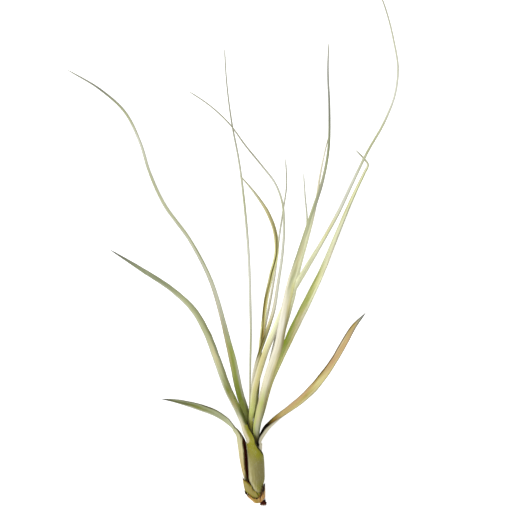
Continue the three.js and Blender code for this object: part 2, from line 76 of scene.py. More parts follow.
FINEST_WIDTH = 0.62    # mm, where a leaf's table ends
MIDRIB_SHARE = 0.7     # the most that a leaf's wall takes of its arc's radius at the midrib
MARGIN_SHARE = 0.4     # the same at its margins
SIDE_SHIFT = 9.0       # how far apart a piece's two sides lie in the noise
HAIR_SEED = 500        # added to a leaf's seed for its hairs
FIBRE_SEED = 900       # added to an old base's seed for its torn fibres
FLECK_RISE = 2.0       # mm over which a leaf's flecks come in
FLECK_FALL = 10.0      # mm over which they die out


# ---- colours ----


class Tint(Enum):
    """The plant's colours, each a plain sRGB hex number."""

    BARK = "#2a140b"
    MAHOGANY = "#641c06"
    PITH = "#c2a892"
    UMBER = "#573808"
    RUST = "#85501f"
    AMBER = "#cf9650"
    PARCHMENT = "#e6c58c"
    OCHRE = "#a98c38"
    BLACK_BROWN = "#140a05"
    DEEP_OLIVE = "#47430f"
    YELLOW_OLIVE = "#959222"
    OLIVE = "#918c34"
    DULL_OLIVE = "#8c8450"
    KHAKI = "#a59c68"
    CREAM = "#cfc796"
    IVORY = "#e9e2c4"
    MILK = "#f4efdc"
    LEMON = "#f0eea6"
    PALE_LEMON = "#fcfdd0"
    STRAW = "#dad090"
    LIME = "#c3cb74"
    LEAF_GREEN = "#808638"
    MOSS = "#5c6812"
    VIVID_GREEN = "#a0b238"
    FRESH_GREEN = "#aab656"
    DARK_GREEN = "#434c10"
    GREY_SAGE = "#8f9573"
    SAGE = "#a0a67e"
    SAGE_GREEN = "#b0b486"
    OLIVE_SAGE = "#86885a"
    DUSK_GREEN = "#666a3c"
    SILVER = "#bcbf97"
    PALE_SILVER = "#cfd0b8"
    FROST = "#dfe0d0"
    GREY_OLIVE = "#858876"
    STONE = "#aeae9a"
    ASH = "#a5a69e"
    SLATE = "#60605b"
    CHARCOAL = "#454440"
    TAN = "#c8b276"
    SAND = "#caa87a"
    BUFF = "#e2cfa6"
    GOLD = "#b9a65e"
    BRONZE = "#5a5210"

    @property
    def linear(self) -> tuple[float, float, float, float]:
        """The colour as linear light.

        A share s of sRGB is s / 12.92 up to 0.04045, and ((s + 0.055) / 1.055) ** 2.4 above it.

        Returns:
            Red, green, blue and an alpha of one.
        """
        code = self.value.lstrip("#")
        srgb = np.array([int(code[i:i + 2], 16) for i in (0, 2, 4)]) / 255.0
        light = np.where(srgb <= 0.04045, srgb / 12.92, ((srgb + 0.055) / 1.055) ** 2.4)
        return (*light.tolist(), 1.0)


Stops = tuple[tuple[float, Tint], ...]


# ---- numbers along a curve ----


def sheath(y: float, dx: float, dz: float, radius: float,
           left: float, right: float, face: float) -> Station:
    """A station where a leaf's sheath wraps the stem's axis, moved by (dx, dz).

    Args:
        y: distance from the foot.
        dx: shift to the plant's right.
        dz: shift up.
        radius: radius of the sheath's outside.
        left: degrees of the arc to the left of the midrib.
        right: degrees of the arc to its right.
        face: where the leaf's back points: 0 up, 90 right, 180 down.

    Returns:
        x, y, z, radius, left, right, face and 1, which says that x, y, z is the arc's axis.
    """
    x = float(np.interp(y, STEM_AXIS[:, 1], STEM_AXIS[:, 0]))
    z = float(np.interp(y, STEM_AXIS[:, 1], STEM_AXIS[:, 2]))
    return (x + dx, y, z + dz, radius, left, right, face, 1.0)


def blade(x: float, y: float, z: float, width: float, fold: float, face: float) -> Station:
    """A station of a free blade, whose section is an arc folded by an angle on each side.

    Args:
        x: place of the blade's middle.
        y: the same along the plant.
        z: the same above the table.
        width: straight width of the section.
        fold: degrees of the arc on each side of the midrib.
        face: where the leaf's back points: 0 up, 90 right, 180 down.

    Returns:
        x, y, z, radius, left, right, face and 0, which says that x, y, z is the blade's middle.
    """
    radius = width / (2.0 * np.sin(np.radians(fold)))
    return (x, y, z, float(radius), fold, fold, face, 0.0)


def cubic_stations(stations: Array, spacing: float) -> tuple[Array, Array]:
    """Fine stations on the cubic through a leaf's stations.

    Between two stations a value is v0 (2t³-3t²+1) + m0 d (t³-2t²+t) + v1 (3t²-2t³) + m1 d (t³-t²),
    where t runs from 0 to 1 and d is the distance between them. A slope m is the mean of the two
    neighbouring secants, each weighed by the other one's distance.

    Args:
        stations: rows of a leaf's stations.
        spacing: distance between two fine stations.

    Returns:
        The fine stations, and the distance of each along the leaf.
    """
    gaps = np.linalg.norm(np.diff(stations[:, :3], axis=0), axis=1)
    at = np.concatenate([[0.0], np.cumsum(gaps)])
    secants = np.diff(stations, axis=0) / gaps[:, None]
    slopes = np.empty_like(stations)
    slopes[0] = secants[0]
    slopes[-1] = secants[-1]
    before = gaps[:-1, None]
    after = gaps[1:, None]
    slopes[1:-1] = (secants[:-1] * after + secants[1:] * before) / (before + after)
    fine_at = np.linspace(0.0, at[-1], int(round(at[-1] / spacing)) + 1)
    i = np.clip(np.searchsorted(at, fine_at, side="right") - 1, 0, len(gaps) - 1)
    d = gaps[i][:, None]
    t = (fine_at[:, None] - at[i][:, None]) / d
    fine = (stations[i] * (2 * t**3 - 3 * t**2 + 1) + slopes[i] * d * (t**3 - 2 * t**2 + t)
            + stations[i + 1] * (3 * t**2 - 2 * t**3) + slopes[i + 1] * d * (t**3 - t**2))
    return fine, fine_at


def ripple(at: Array, wavelength: float, seed: int) -> Array:
    """Smooth noise between about -1 and 1: a mean of five sines of random length and phase.

    Args:
        at: where to work it out.
        wavelength: its middle wavelength, in the same unit.
        seed: picks the sines.

    Returns:
        The noise at each place.
    """
    rng = np.random.default_rng(seed)
    lengths = wavelength * rng.uniform(0.55, 1.9, 5)
    phases = rng.uniform(0.0, 2 * np.pi, 5)
    return np.sin(at[..., None] * 2 * np.pi / lengths + phases).mean(axis=-1) * 1.8


def unit(vectors: Array) -> Array:
    """Vectors scaled to a length of one."""
    return vectors / np.linalg.norm(vectors, axis=-1, keepdims=True)


# ---- meshes ----


def wrapped_quads(rings: int, around: int, loop: bool) -> Array:
    """Quads between neighbouring rings of a grid whose rings close on themselves.

    Args:
        rings: number of rings.
        around: points in a ring.
        loop: whether the last ring joins the first.

    Returns:
        Rows of four point numbers.
    """
    r = np.arange(rings if loop else rings - 1)[:, None]
    k = np.arange(around)[None, :]
    ahead = (r + 1) % rings
    beside = (k + 1) % around
    quads = [r * around + k, r * around + beside, ahead * around + beside, ahead * around + k]
    return np.stack(np.broadcast_arrays(*quads), axis=-1).reshape(-1, 4)


def ladder_quads(first: int, around: int) -> Array:
    """Quads that close a ring of an even number of points, rung by rung between its halves."""
    k = np.arange(around // 2 - 1)
    return first + np.stack([k, around - 1 - k, around - 2 - k, k + 1], axis=-1)


def signed_volume(points: Array, quads: Array) -> float:
    """Volume inside a closed mesh of quads, negative if it is inside out.

    A quad is two triangles, and a triangle adds a sixth of a . (b x c) of its corners.

    Args:
        points: rows of x, y, z.
        quads: rows of four point numbers.

    Returns:
        The volume.
    """
    a, b, c, d = (points[quads[:, i]] for i in range(4))
    halves = np.einsum("ij,ij->i", a, np.cross(b, c)) + np.einsum("ij,ij->i", a, np.cross(c, d))
    return float(halves.sum()) / 6.0


def mesh_piece(name: str, points: Array, quads: Array, notes: dict[str, Array]) -> bpy.types.Object:
    """A smooth object from points in millimetres from FOOT.

    Args:
        name: the piece's name.
        points: rows of x, y, z.
        quads: rows of point numbers, all of one length.
        notes: what is written on each point for the materials: name to rows of three numbers.

    Returns:
        The object, linked to the scene.
    """
    if quads.shape[1] == 4 and signed_volume(points, quads) < 0:
        quads = quads[:, ::-1]
    mesh = bpy.data.meshes.new(name)
    mesh.from_pydata(((points - MIDDLE) * MM).tolist(), [], quads.tolist())
    mesh.polygons.foreach_set("use_smooth", np.ones(len(quads), dtype=bool))
    for label, rows in notes.items():
        layer = mesh.attributes.new(label, "FLOAT_VECTOR", "POINT")
        layer.data.foreach_set("vector", rows.astype(np.float32).ravel())
    mesh.update()
    piece = bpy.data.objects.new(name, mesh)
    bpy.context.scene.collection.objects.link(piece)
    return piece


def spikes(name: str, roots: Array, tips: Array, width: Array,
           notes: dict[str, Array]) -> bpy.types.Object:
    """Fine spikes in one piece, each a closed pyramid on three points.

    The three points of a spike lie round its root, width / 2 from it, square to its length.

    Args:
        name: the piece's name.
        roots: rows of x, y, z, one for each spike.
        tips: the same.
        width: each spike's width at its root.
        notes: what is written on each spike's points for the materials.

    Returns:
        The object, linked to the scene.
    """
    line = unit(tips - roots)
    helper = np.where(np.abs(line[:, 2:]) > 0.8, [[1.0, 0.0, 0.0]], [[0.0, 0.0, 1.0]])
    side = unit(np.cross(line, helper))
    over = np.cross(line, side)
    turn = np.arange(3) * 2 * np.pi / 3
    ring = side[:, None] * np.cos(turn)[:, None] + over[:, None] * np.sin(turn)[:, None]
    ring = roots[:, None] + ring * (width / 2)[:, None, None]
    points = np.concatenate([ring, tips[:, None]], axis=1).reshape(-1, 3)
    faces = np.array([(0, 1, 3), (1, 2, 3), (2, 0, 3), (2, 1, 0)])
    faces = (np.arange(len(roots))[:, None, None] * 4 + faces).reshape(-1, 3)
    spread = {label: np.repeat(rows, 4, axis=0) for label, rows in notes.items()}
    return mesh_piece(name, points, faces, spread)


def hand_over(piece: bpy.types.Object, material: bpy.types.Material,
              node: str | None = None) -> None:
    """Gives a piece its material, ties it to the frame and reports it.

    Args:
        piece: the new piece.
        material: what it is made of.
        node: the frame's node that it stands for, if it stands for one.
    """
    piece.data.materials.append(material)
    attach(piece, "root")
    if node is not None:
        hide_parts(node)
    LOG.info("%s: %d faces", piece.name, len(piece.data.polygons))


# ---- shader nodes ----


class Board:
    """A node tree being wired. Each method adds a node and returns what it puts out."""

    def __init__(self, tree: bpy.types.NodeTree) -> None:
        """Starts on an empty tree."""
        self.tree = tree

    def add(self, kind: str, feeds: dict[str | int, object] | None = None,
            **settings: object) -> bpy.types.Node:
        """Adds a node.

        Args:
            kind: the node's type.
            feeds: input name or number to a value or a socket.
            settings: the node's own properties.

        Returns:
            The node.
        """
        node = self.tree.nodes.new(kind)
        for key, value in settings.items():
            setattr(node, key, value)
        for key, value in (feeds or {}).items():
            self.feed(node.inputs[key], value)
        return node

    def feed(self, socket: Socket, value: object) -> None:
        """Links a socket to another one, or sets its value.

        Args:
            socket: the input to feed.
            value: another node's output, or a plain value.
        """
        if isinstance(value, bpy.types.NodeSocket):
            self.tree.links.new(value, socket)
        else:
            socket.default_value = value

    def math(self, operation: str, a: object, b: object = 0.0, clamp: bool = False) -> Socket:
        """One sum on numbers."""
        return self.add("ShaderNodeMath", {0: a, 1: b}, operation=operation,
                        use_clamp=clamp).outputs[0]

    def step(self, value: object, low: object, high: object) -> Socket:
        """Rises smoothly from 0 at low to 1 at high, or falls where low is the greater."""
        return self.add("ShaderNodeMapRange", {"Value": value, "From Min": low, "From Max": high},
                        interpolation_type="SMOOTHSTEP").outputs["Result"]

    def stretch(self, vector: object, by: tuple[float, float, float]) -> Socket:
        """A vector with each part multiplied."""
        return self.add("ShaderNodeVectorMath", {0: vector, 1: by}, operation="MULTIPLY").outputs[0]

    def parts(self, vector: object) -> tuple[Socket, Socket, Socket]:
        """The three parts of a vector."""
        node = self.add("ShaderNodeSeparateXYZ", {0: vector})
        return node.outputs[0], node.outputs[1], node.outputs[2]

    def noise(self, vector: object, scale: float, detail: float = 2.0) -> Socket:
        """Soft noise between 0 and 1."""
        return self.add("ShaderNodeTexNoise", {"Vector": vector, "Scale": scale, "Detail": detail},
                        noise_dimensions="3D").outputs["Fac"]

    def grain(self, skin: object, along: float, across: float, detail: float = 2.0) -> Socket:
        """Noise between 0 and 1 on a skin, with so many waves to a millimetre each way."""
        return self.noise(self.stretch(skin, (along, across, 1.0)), 1.0, detail)

    def dots(self, skin: object, along: float, across: float, edge: float, core: float,
             amount: object) -> Socket:
        """Round dots strewn over a skin.

        Args:
            skin: the note "skin".
            along: places for a dot to a millimetre along it.
            across: the same across it.
            edge: distance from a dot's middle at which it ends, as a share of its place.
            core: the same at which it is full.
            amount: share of the places that have a dot.

        Returns:
            1 in a dot and 0 beside it.
        """
        node = self.add("ShaderNodeTexVoronoi",
                        {"Vector": self.stretch(skin, (along, across, 1.0)), "Scale": 1.0})
        number = self.add("ShaderNodeSeparateColor", {0: node.outputs["Color"]}).outputs[0]
        there = self.step(number, self.math("SUBTRACT", 1.0, amount), 1.0)
        return self.math("MULTIPLY", self.step(node.outputs["Distance"], edge, core), there)

    def blend(self, amount: object, under: object, over: object) -> Socket:
        """One colour over another.

        Inputs 6 and 7 and output 2 are the node's colours.

        Args:
            amount: how much of the upper one shows, from 0 to 1.
            under: the lower colour.
            over: the upper colour.

        Returns:
            The mixed colour.
        """
        node = self.add("ShaderNodeMix", data_type="RGBA")
        self.feed(node.inputs[0], amount)
        self.feed(node.inputs[6], under)
        self.feed(node.inputs[7], over)
        return node.outputs[2]

    def note(self, label: str) -> Socket:
        """What a piece's points carry under a name."""
        return self.add("ShaderNodeAttribute", attribute_name=label).outputs["Vector"]

    def as_seen(self, leaf: object) -> tuple[Socket, Socket, Socket]:
        """A leaf's note, with its place across running left to right on the side that is seen.

        Args:
            leaf: the note "leaf".

        Returns:
            The distance along, the place across, and 1 on the face.
        """
        along, across, inner = self.parts(leaf)
        flip = self.math("SUBTRACT", 1.0, self.math("MULTIPLY", inner, 2.0))
        return along, self.math("MULTIPLY", across, flip), inner

    def ramp(self, place: object, stops: Stops, length: float) -> Socket:
        """A row of colours along a length.

        Args:
            place: distance along it, in millimetres.
            stops: distance and colour, in order.
            length: the whole length, in millimetres.

        Returns:
            The colour there.
        """
        node = self.add("ShaderNodeValToRGB", {0: self.math("DIVIDE", place, length)})
        elements = node.color_ramp.elements
        while len(elements) < len(stops):
            elements.new(1.0)
        for element, (distance, _) in zip(elements, stops):
            element.position = distance / length
        for element, (_, tint) in zip(elements, stops):
            element.color = tint.linear
        return node.outputs[0]

    def shade(self, colour: object, brightness: object) -> Socket:
        """A colour made lighter or darker.

        Args:
            colour: the colour.
            brightness: what each of its parts is multiplied by.

        Returns:
            The new colour.
        """
        node = self.add("ShaderNodeVectorMath", {0: colour}, operation="SCALE")
        self.feed(node.inputs["Scale"], brightness)
        return node.outputs[0]


def node_group(name: str, takes: dict[str, str],
               gives: dict[str, str]) -> tuple[Board, dict[str, Socket], dict[str, Socket]]:
    """A new shader node group.

    Args:
        name: its name.
        takes: input name to socket kind.
        gives: output name to socket kind.

    Returns:
        The board to wire, the group's inputs by name, and the sockets its outputs wait on.
    """
    tree = bpy.data.node_groups.new(name, "ShaderNodeTree")
    for label, kind in takes.items():
        tree.interface.new_socket(label, in_out="INPUT", socket_type=f"NodeSocket{kind}")
    for label, kind in gives.items():
        tree.interface.new_socket(label, in_out="OUTPUT", socket_type=f"NodeSocket{kind}")
    board = Board(tree)
    inside = board.add("NodeGroupInput")
    outside = board.add("NodeGroupOutput")
    return (board, {label: inside.outputs[label] for label in takes},
            {label: outside.inputs[label] for label in gives})


def coat_group() -> bpy.types.NodeTree:
    """Builds the group that paints a leaf's two sides.

    Each side has a colour for its left edge, its middle and its right edge, as that side is seen
    with the tip up. They run into one another in frayed strokes.

    Returns:
        The node group.
    """
    places = ("Left", "Middle", "Right")
    board, takes, gives = node_group(
        "leaf coat",
        {"Leaf": "Vector", "Skin": "Vector", **{f"Back {place}": "Color" for place in places},
         **{f"Face {place}": "Color" for place in places}},
        {"Colour": "Color"})
    _, across, inner = board.as_seen(takes["Leaf"])
    fray = board.math("SUBTRACT", board.grain(takes["Skin"], 0.12, 1.5), 0.5)
    across = board.math("ADD", across, board.math("MULTIPLY", fray, 0.7))
    leftward = board.step(across, -0.1, -0.75)
    rightward = board.step(across, 0.1, 0.75)
    sides = []
    for side in ("Back", "Face"):
        colour = board.blend(leftward, takes[f"{side} Middle"], takes[f"{side} Left"])
        sides.append(board.blend(rightward, colour, takes[f"{side} Right"]))
    board.feed(gives["Colour"], board.blend(inner, *sides))
    return board.tree


def wash_group() -> bpy.types.NodeTree:
    """Builds the group that says how strongly a wash of colour lies on a leaf.

    The mask is a plateau along the leaf from From to To, times a hump across it round Centre,
    times the side that it is on. Slant moves the plateau on by so many millimetres from the
    leaf's middle to its right edge. Noise frays both.

    Returns:
        The node group.
    """
    board, takes, gives = node_group(
        "leaf wash",
        {"Leaf": "Vector", "Skin": "Vector", "From": "Float", "To": "Float", "Fade In": "Float",
         "Fade Out": "Float", "Slant": "Float", "Centre": "Float", "Reach": "Float",
         "On Back": "Float", "On Face": "Float", "Strength": "Float"},
        {"Mask": "Float"})
    along, across, inner = board.as_seen(takes["Leaf"])
    along = board.math("SUBTRACT", along, board.math("MULTIPLY", across, takes["Slant"]))
    fray = board.math("SUBTRACT", board.grain(takes["Skin"], 0.16, 0.8), 0.5)
    across = board.math("ADD", across, board.math("MULTIPLY", fray, 0.4))
    start = board.math("ADD", along, board.math("MULTIPLY", fray, takes["Fade In"]))
    rise = board.step(start, board.math("SUBTRACT", takes["From"], takes["Fade In"]), takes["From"])
    end = board.math("ADD", along, board.math("MULTIPLY", fray, takes["Fade Out"]))
    fall = board.step(end, board.math("ADD", takes["To"], takes["Fade Out"]), takes["To"])
    away = board.math("ABSOLUTE", board.math("SUBTRACT", across, takes["Centre"]))
    hump = board.step(away, takes["Reach"], board.math("MULTIPLY", takes["Reach"], 0.3))
    face = board.math("MULTIPLY", inner, takes["On Face"])
    back = board.math("MULTIPLY", board.math("SUBTRACT", 1.0, inner), takes["On Back"])
    mask = board.math("MULTIPLY", board.math("MULTIPLY", rise, fall), hump)
    mask = board.math("MULTIPLY", mask, board.math("ADD", face, back))
    board.feed(gives["Mask"], board.math("MULTIPLY", mask, takes["Strength"], clamp=True))
    return board.tree


def skin_group() -> bpy.types.NodeTree:
    """Builds the group that gives a painted leaf its skin.

    It adds streaks and veins that run along the leaf, soft mottling, silvery scales set in rows,
    dark flecks and a margin of another colour, which may break up into dots.

    Returns:
        The node group.
    """
    board, takes, gives = node_group(
        "leaf skin",
        {"Leaf": "Vector", "Skin": "Vector", "Paint": "Color", "Scale Tint": "Color",
         "Scales": "Float", "Streaks": "Float", "Fleck Tint": "Color", "Flecks": "Float",
         "Fleck From": "Float", "Fleck To": "Float", "Margin Tint": "Color", "Margin": "Float",
         "Dots": "Float"},
        {"Colour": "Color", "Roughness": "Float", "Height": "Float"})
    along, across, inner = board.parts(takes["Leaf"])
    skin = takes["Skin"]
    streak = board.grain(skin, 0.07, 2.6, 3.0)
    patch = board.grain(skin, 0.22, 0.5)
    vein = board.grain(skin, 0.03, 5.5, 1.0)
    swing = board.math("MULTIPLY", board.math("SUBTRACT", streak, 0.5), takes["Streaks"])
    colour = board.shade(takes["Paint"], board.math("ADD", 1.0, swing))
    # Where the paint is dark, much of it painted shade in crevices and hollows, the mottling and the
    # scales stay off.
    light = board.add("ShaderNodeRGBToBW", {0: takes["Paint"]}).outputs[0]
    shown = board.step(light, 0.02, 0.3)
    mottle = board.math("MULTIPLY", board.step(patch, 0.5, 0.75), takes["Scales"])
    colour = board.blend(board.math("MULTIPLY", mottle, shown), colour, takes["Scale Tint"])
    scale = board.math("MULTIPLY", board.dots(skin, 2.3, 3.1, 0.5, 0.15, takes["Scales"]), shown)
    colour = board.blend(board.math("MULTIPLY", scale, 0.75), colour, takes["Scale Tint"])
    fleck = board.dots(skin, 0.75, 1.35, 0.34, 0.12, takes["Flecks"])
    full_from = board.math("ADD", takes["Fleck From"], FLECK_RISE)
    full_to = board.math("SUBTRACT", takes["Fleck To"], FLECK_FALL)
    spread = board.math("MULTIPLY", board.step(along, takes["Fleck From"], full_from),
                        board.step(along, takes["Fleck To"], full_to))
    fleck = board.math("MULTIPLY", fleck, board.math("MULTIPLY", spread, 0.85))
    colour = board.blend(fleck, colour, takes["Fleck Tint"])
    rim = board.step(board.math("ABSOLUTE", across), 0.8, 0.97)
    beads = board.step(board.grain(skin, 1.1, 0.0, 0.0), 0.4, 0.6)
    broken = board.math("SUBTRACT", 1.0, board.math("MULTIPLY", beads, takes["Dots"]))
    rim = board.math("MULTIPLY", board.math("MULTIPLY", rim, takes["Margin"]), broken)
    colour = board.blend(rim, colour, takes["Margin Tint"])
    board.feed(gives["Colour"], colour)
    # Dark paint, much of it painted shade, is made rougher.
    dark = board.math("MULTIPLY", board.math("SUBTRACT", 1.0, shown), 0.25)
    rough = board.math("ADD", dark, board.math("ADD", 0.52, board.math("MULTIPLY", scale, 0.25)))
    board.feed(gives["Roughness"], board.math("SUBTRACT", rough, board.math("MULTIPLY", inner, 0.08)))
    ridges = board.math("ADD", board.math("MULTIPLY", vein, 0.8), board.math("MULTIPLY", streak, 0.5))
    board.feed(gives["Height"], board.math("ADD", ridges, board.math("MULTIPLY", scale, 0.35)))
    return board.tree


@dataclass(frozen=True)
class SharedGroups:
    """The node groups that more than one material uses."""

    coat: bpy.types.NodeTree
    wash: bpy.types.NodeTree
    skin: bpy.types.NodeTree


def new_material(name: str) -> tuple[Board, bpy.types.Node, bpy.types.Material]:
    """An empty material with its shader.

    Args:
        name: the material's name.

    Returns:
        The board to wire, the Principled shader, already linked to the output, and the material.
    """
    material = bpy.data.materials.new(name)
    material.use_nodes = True
    material.node_tree.nodes.clear()
    board = Board(material.node_tree)
    shader = board.add("ShaderNodeBsdfPrincipled")
    board.add("ShaderNodeOutputMaterial", {"Surface": shader.outputs[0]})
    return board, shader, material


def add_relief(board: Board, shader: bpy.types.Node, height: Socket, depth: float,
               strength: float) -> None:
    """Raises a shader's surface.

    Args:
        board: the material's board.
        shader: the shader to raise.
        height: the relief, from 0 to 1.
        depth: millimetres from its lowest to its highest.
        strength: how much of it shows.
    """
    bump = board.add("ShaderNodeBump", {"Height": height, "Distance": depth * MM,
                                        "Strength": strength})
    board.feed(shader.inputs["Normal"], bump.outputs[0])


# ---- finishes ----


class Side(Enum):
    """The side of a leaf that a wash lies on: how much on its back, how much on its face."""

    BACK = (1.0, 0.0)
    FACE = (0.0, 1.0)


@dataclass(frozen=True)
class Wash:
    """A stroke of colour on a leaf. Some strokes are the leaf's own colour; others, as noted at each
    leaf, are painted shade and painted highlight.

    It lies from start to end, in millimetres from the leaf's root, fading in before it and out
    after it. Across the side that is seen, from -1 at its left margin to 1 at its right one, it is
    strongest at centre and gone at reach from there.
    """

    tint: Tint
    start: float
    end: float
    fade_in: float
    fade_out: float
    centre: float
    reach: float
    strength: float = 0.8
    side: Side = Side.BACK
    slant: float = 0.0

    def mask_values(self) -> dict[str, float]:
        """What the wash group takes for this wash.

        Returns:
            Input name to value.
        """
        on_back, on_face = self.side.value
        return {"From": self.start, "To": self.end, "Fade In": self.fade_in,
                "Fade Out": self.fade_out, "Slant": self.slant, "Centre": self.centre,
                "Reach": self.reach, "On Back": on_back, "On Face": on_face,
                "Strength": self.strength}


@dataclass(frozen=True)
class Coat:
    """The colours of one side of a leaf: rows of them along its left edge, middle and right edge.

    Left and right are those of the side that is seen, with the tip up.
    """

    left: Stops
    middle: Stops
    right: Stops


def even_coat(*stops: tuple[float, Tint]) -> Coat:
    """A side of a leaf whose colour is the same all the way across."""
    return Coat(stops, stops, stops)


@dataclass(frozen=True)
class LeafFinish:
    """How one leaf is coloured: a coat on its back and its face, and washes over them.

    Scales, streaks, flecks, margin and dots say how much of each shows, from 0 for none. The
    flecks lie within fleck_reach, in millimetres from the leaf's root. Shine is the shader's
    specular level.
    """

    slot: str
    back: Coat
    face: Coat
    washes: tuple[Wash, ...] = ()
    scales: float = 0.14
    scale_tint: Tint = Tint.PALE_SILVER
    streaks: float = 0.7
    flecks: float = 0.0
    fleck_tint: Tint = Tint.DEEP_OLIVE
    fleck_reach: tuple[float, float] = (0.0, 300.0)
    margin: float = 0.4
    margin_tint: Tint = Tint.GREY_OLIVE
    dots: float = 0.0
    shine: float = 0.2

    def material(self, name: str, length: float, groups: SharedGroups) -> bpy.types.Material:
        """Makes the leaf's material.

        Args:
            name: the leaf's name.
            length: the leaf's length in millimetres.
            groups: the shared node groups.

        Returns:
            The material.
        """
        board, shader, material = new_material(f"{name}_skin")
        leaf = board.note("leaf")
        skin = board.note("skin")
        along, _, _ = board.parts(leaf)
        coat = board.add("ShaderNodeGroup", node_tree=groups.coat)
        board.feed(coat.inputs["Leaf"], leaf)
        board.feed(coat.inputs["Skin"], skin)
        for side, rows in (("Back", self.back), ("Face", self.face)):
            for place in ("left", "middle", "right"):
                stops = getattr(rows, place)
                board.feed(coat.inputs[f"{side} {place.title()}"], board.ramp(along, stops, length))
        paint = coat.outputs["Colour"]
        for wash in self.washes:
            mask = board.add("ShaderNodeGroup", node_tree=groups.wash)
            for label, value in {"Leaf": leaf, "Skin": skin, **wash.mask_values()}.items():
                board.feed(mask.inputs[label], value)
            paint = board.blend(mask.outputs["Mask"], paint, wash.tint.linear)
        dress = board.add("ShaderNodeGroup", node_tree=groups.skin)
        for label, value in {"Leaf": leaf, "Skin": skin, "Paint": paint,
                             "Scale Tint": self.scale_tint.linear, "Scales": self.scales,
                             "Streaks": self.streaks, "Fleck Tint": self.fleck_tint.linear,
                             "Flecks": self.flecks, "Fleck From": self.fleck_reach[0],
                             "Fleck To": self.fleck_reach[1],
                             "Margin Tint": self.margin_tint.linear, "Margin": self.margin,
                             "Dots": self.dots}.items():
            board.feed(dress.inputs[label], value)
        board.feed(shader.inputs["Base Color"], dress.outputs["Colour"])
        board.feed(shader.inputs["Roughness"], dress.outputs["Roughness"])
        shader.inputs["Specular IOR Level"].default_value = self.shine
        add_relief(board, shader, dress.outputs["Height"], depth=0.06, strength=0.5)
        return material


# ---- leaves ----


@dataclass(frozen=True)
class HairSizes:
    """The sizes of a leaf's hairs in millimetres, each from its smallest to its largest.

    Tilt is how far a hair rises for one along the leaf. Its root is sunk in the skin, and its tip
    stays above the floor.
    """

    per_mm: float = 5.0
    length: tuple[float, float] = (0.18, 0.42)
    width: tuple[float, float] = (0.04, 0.07)
    tilt: tuple[float, float] = (0.3, 0.75)
    sunk: float = 0.03
    floor: float = 0.02


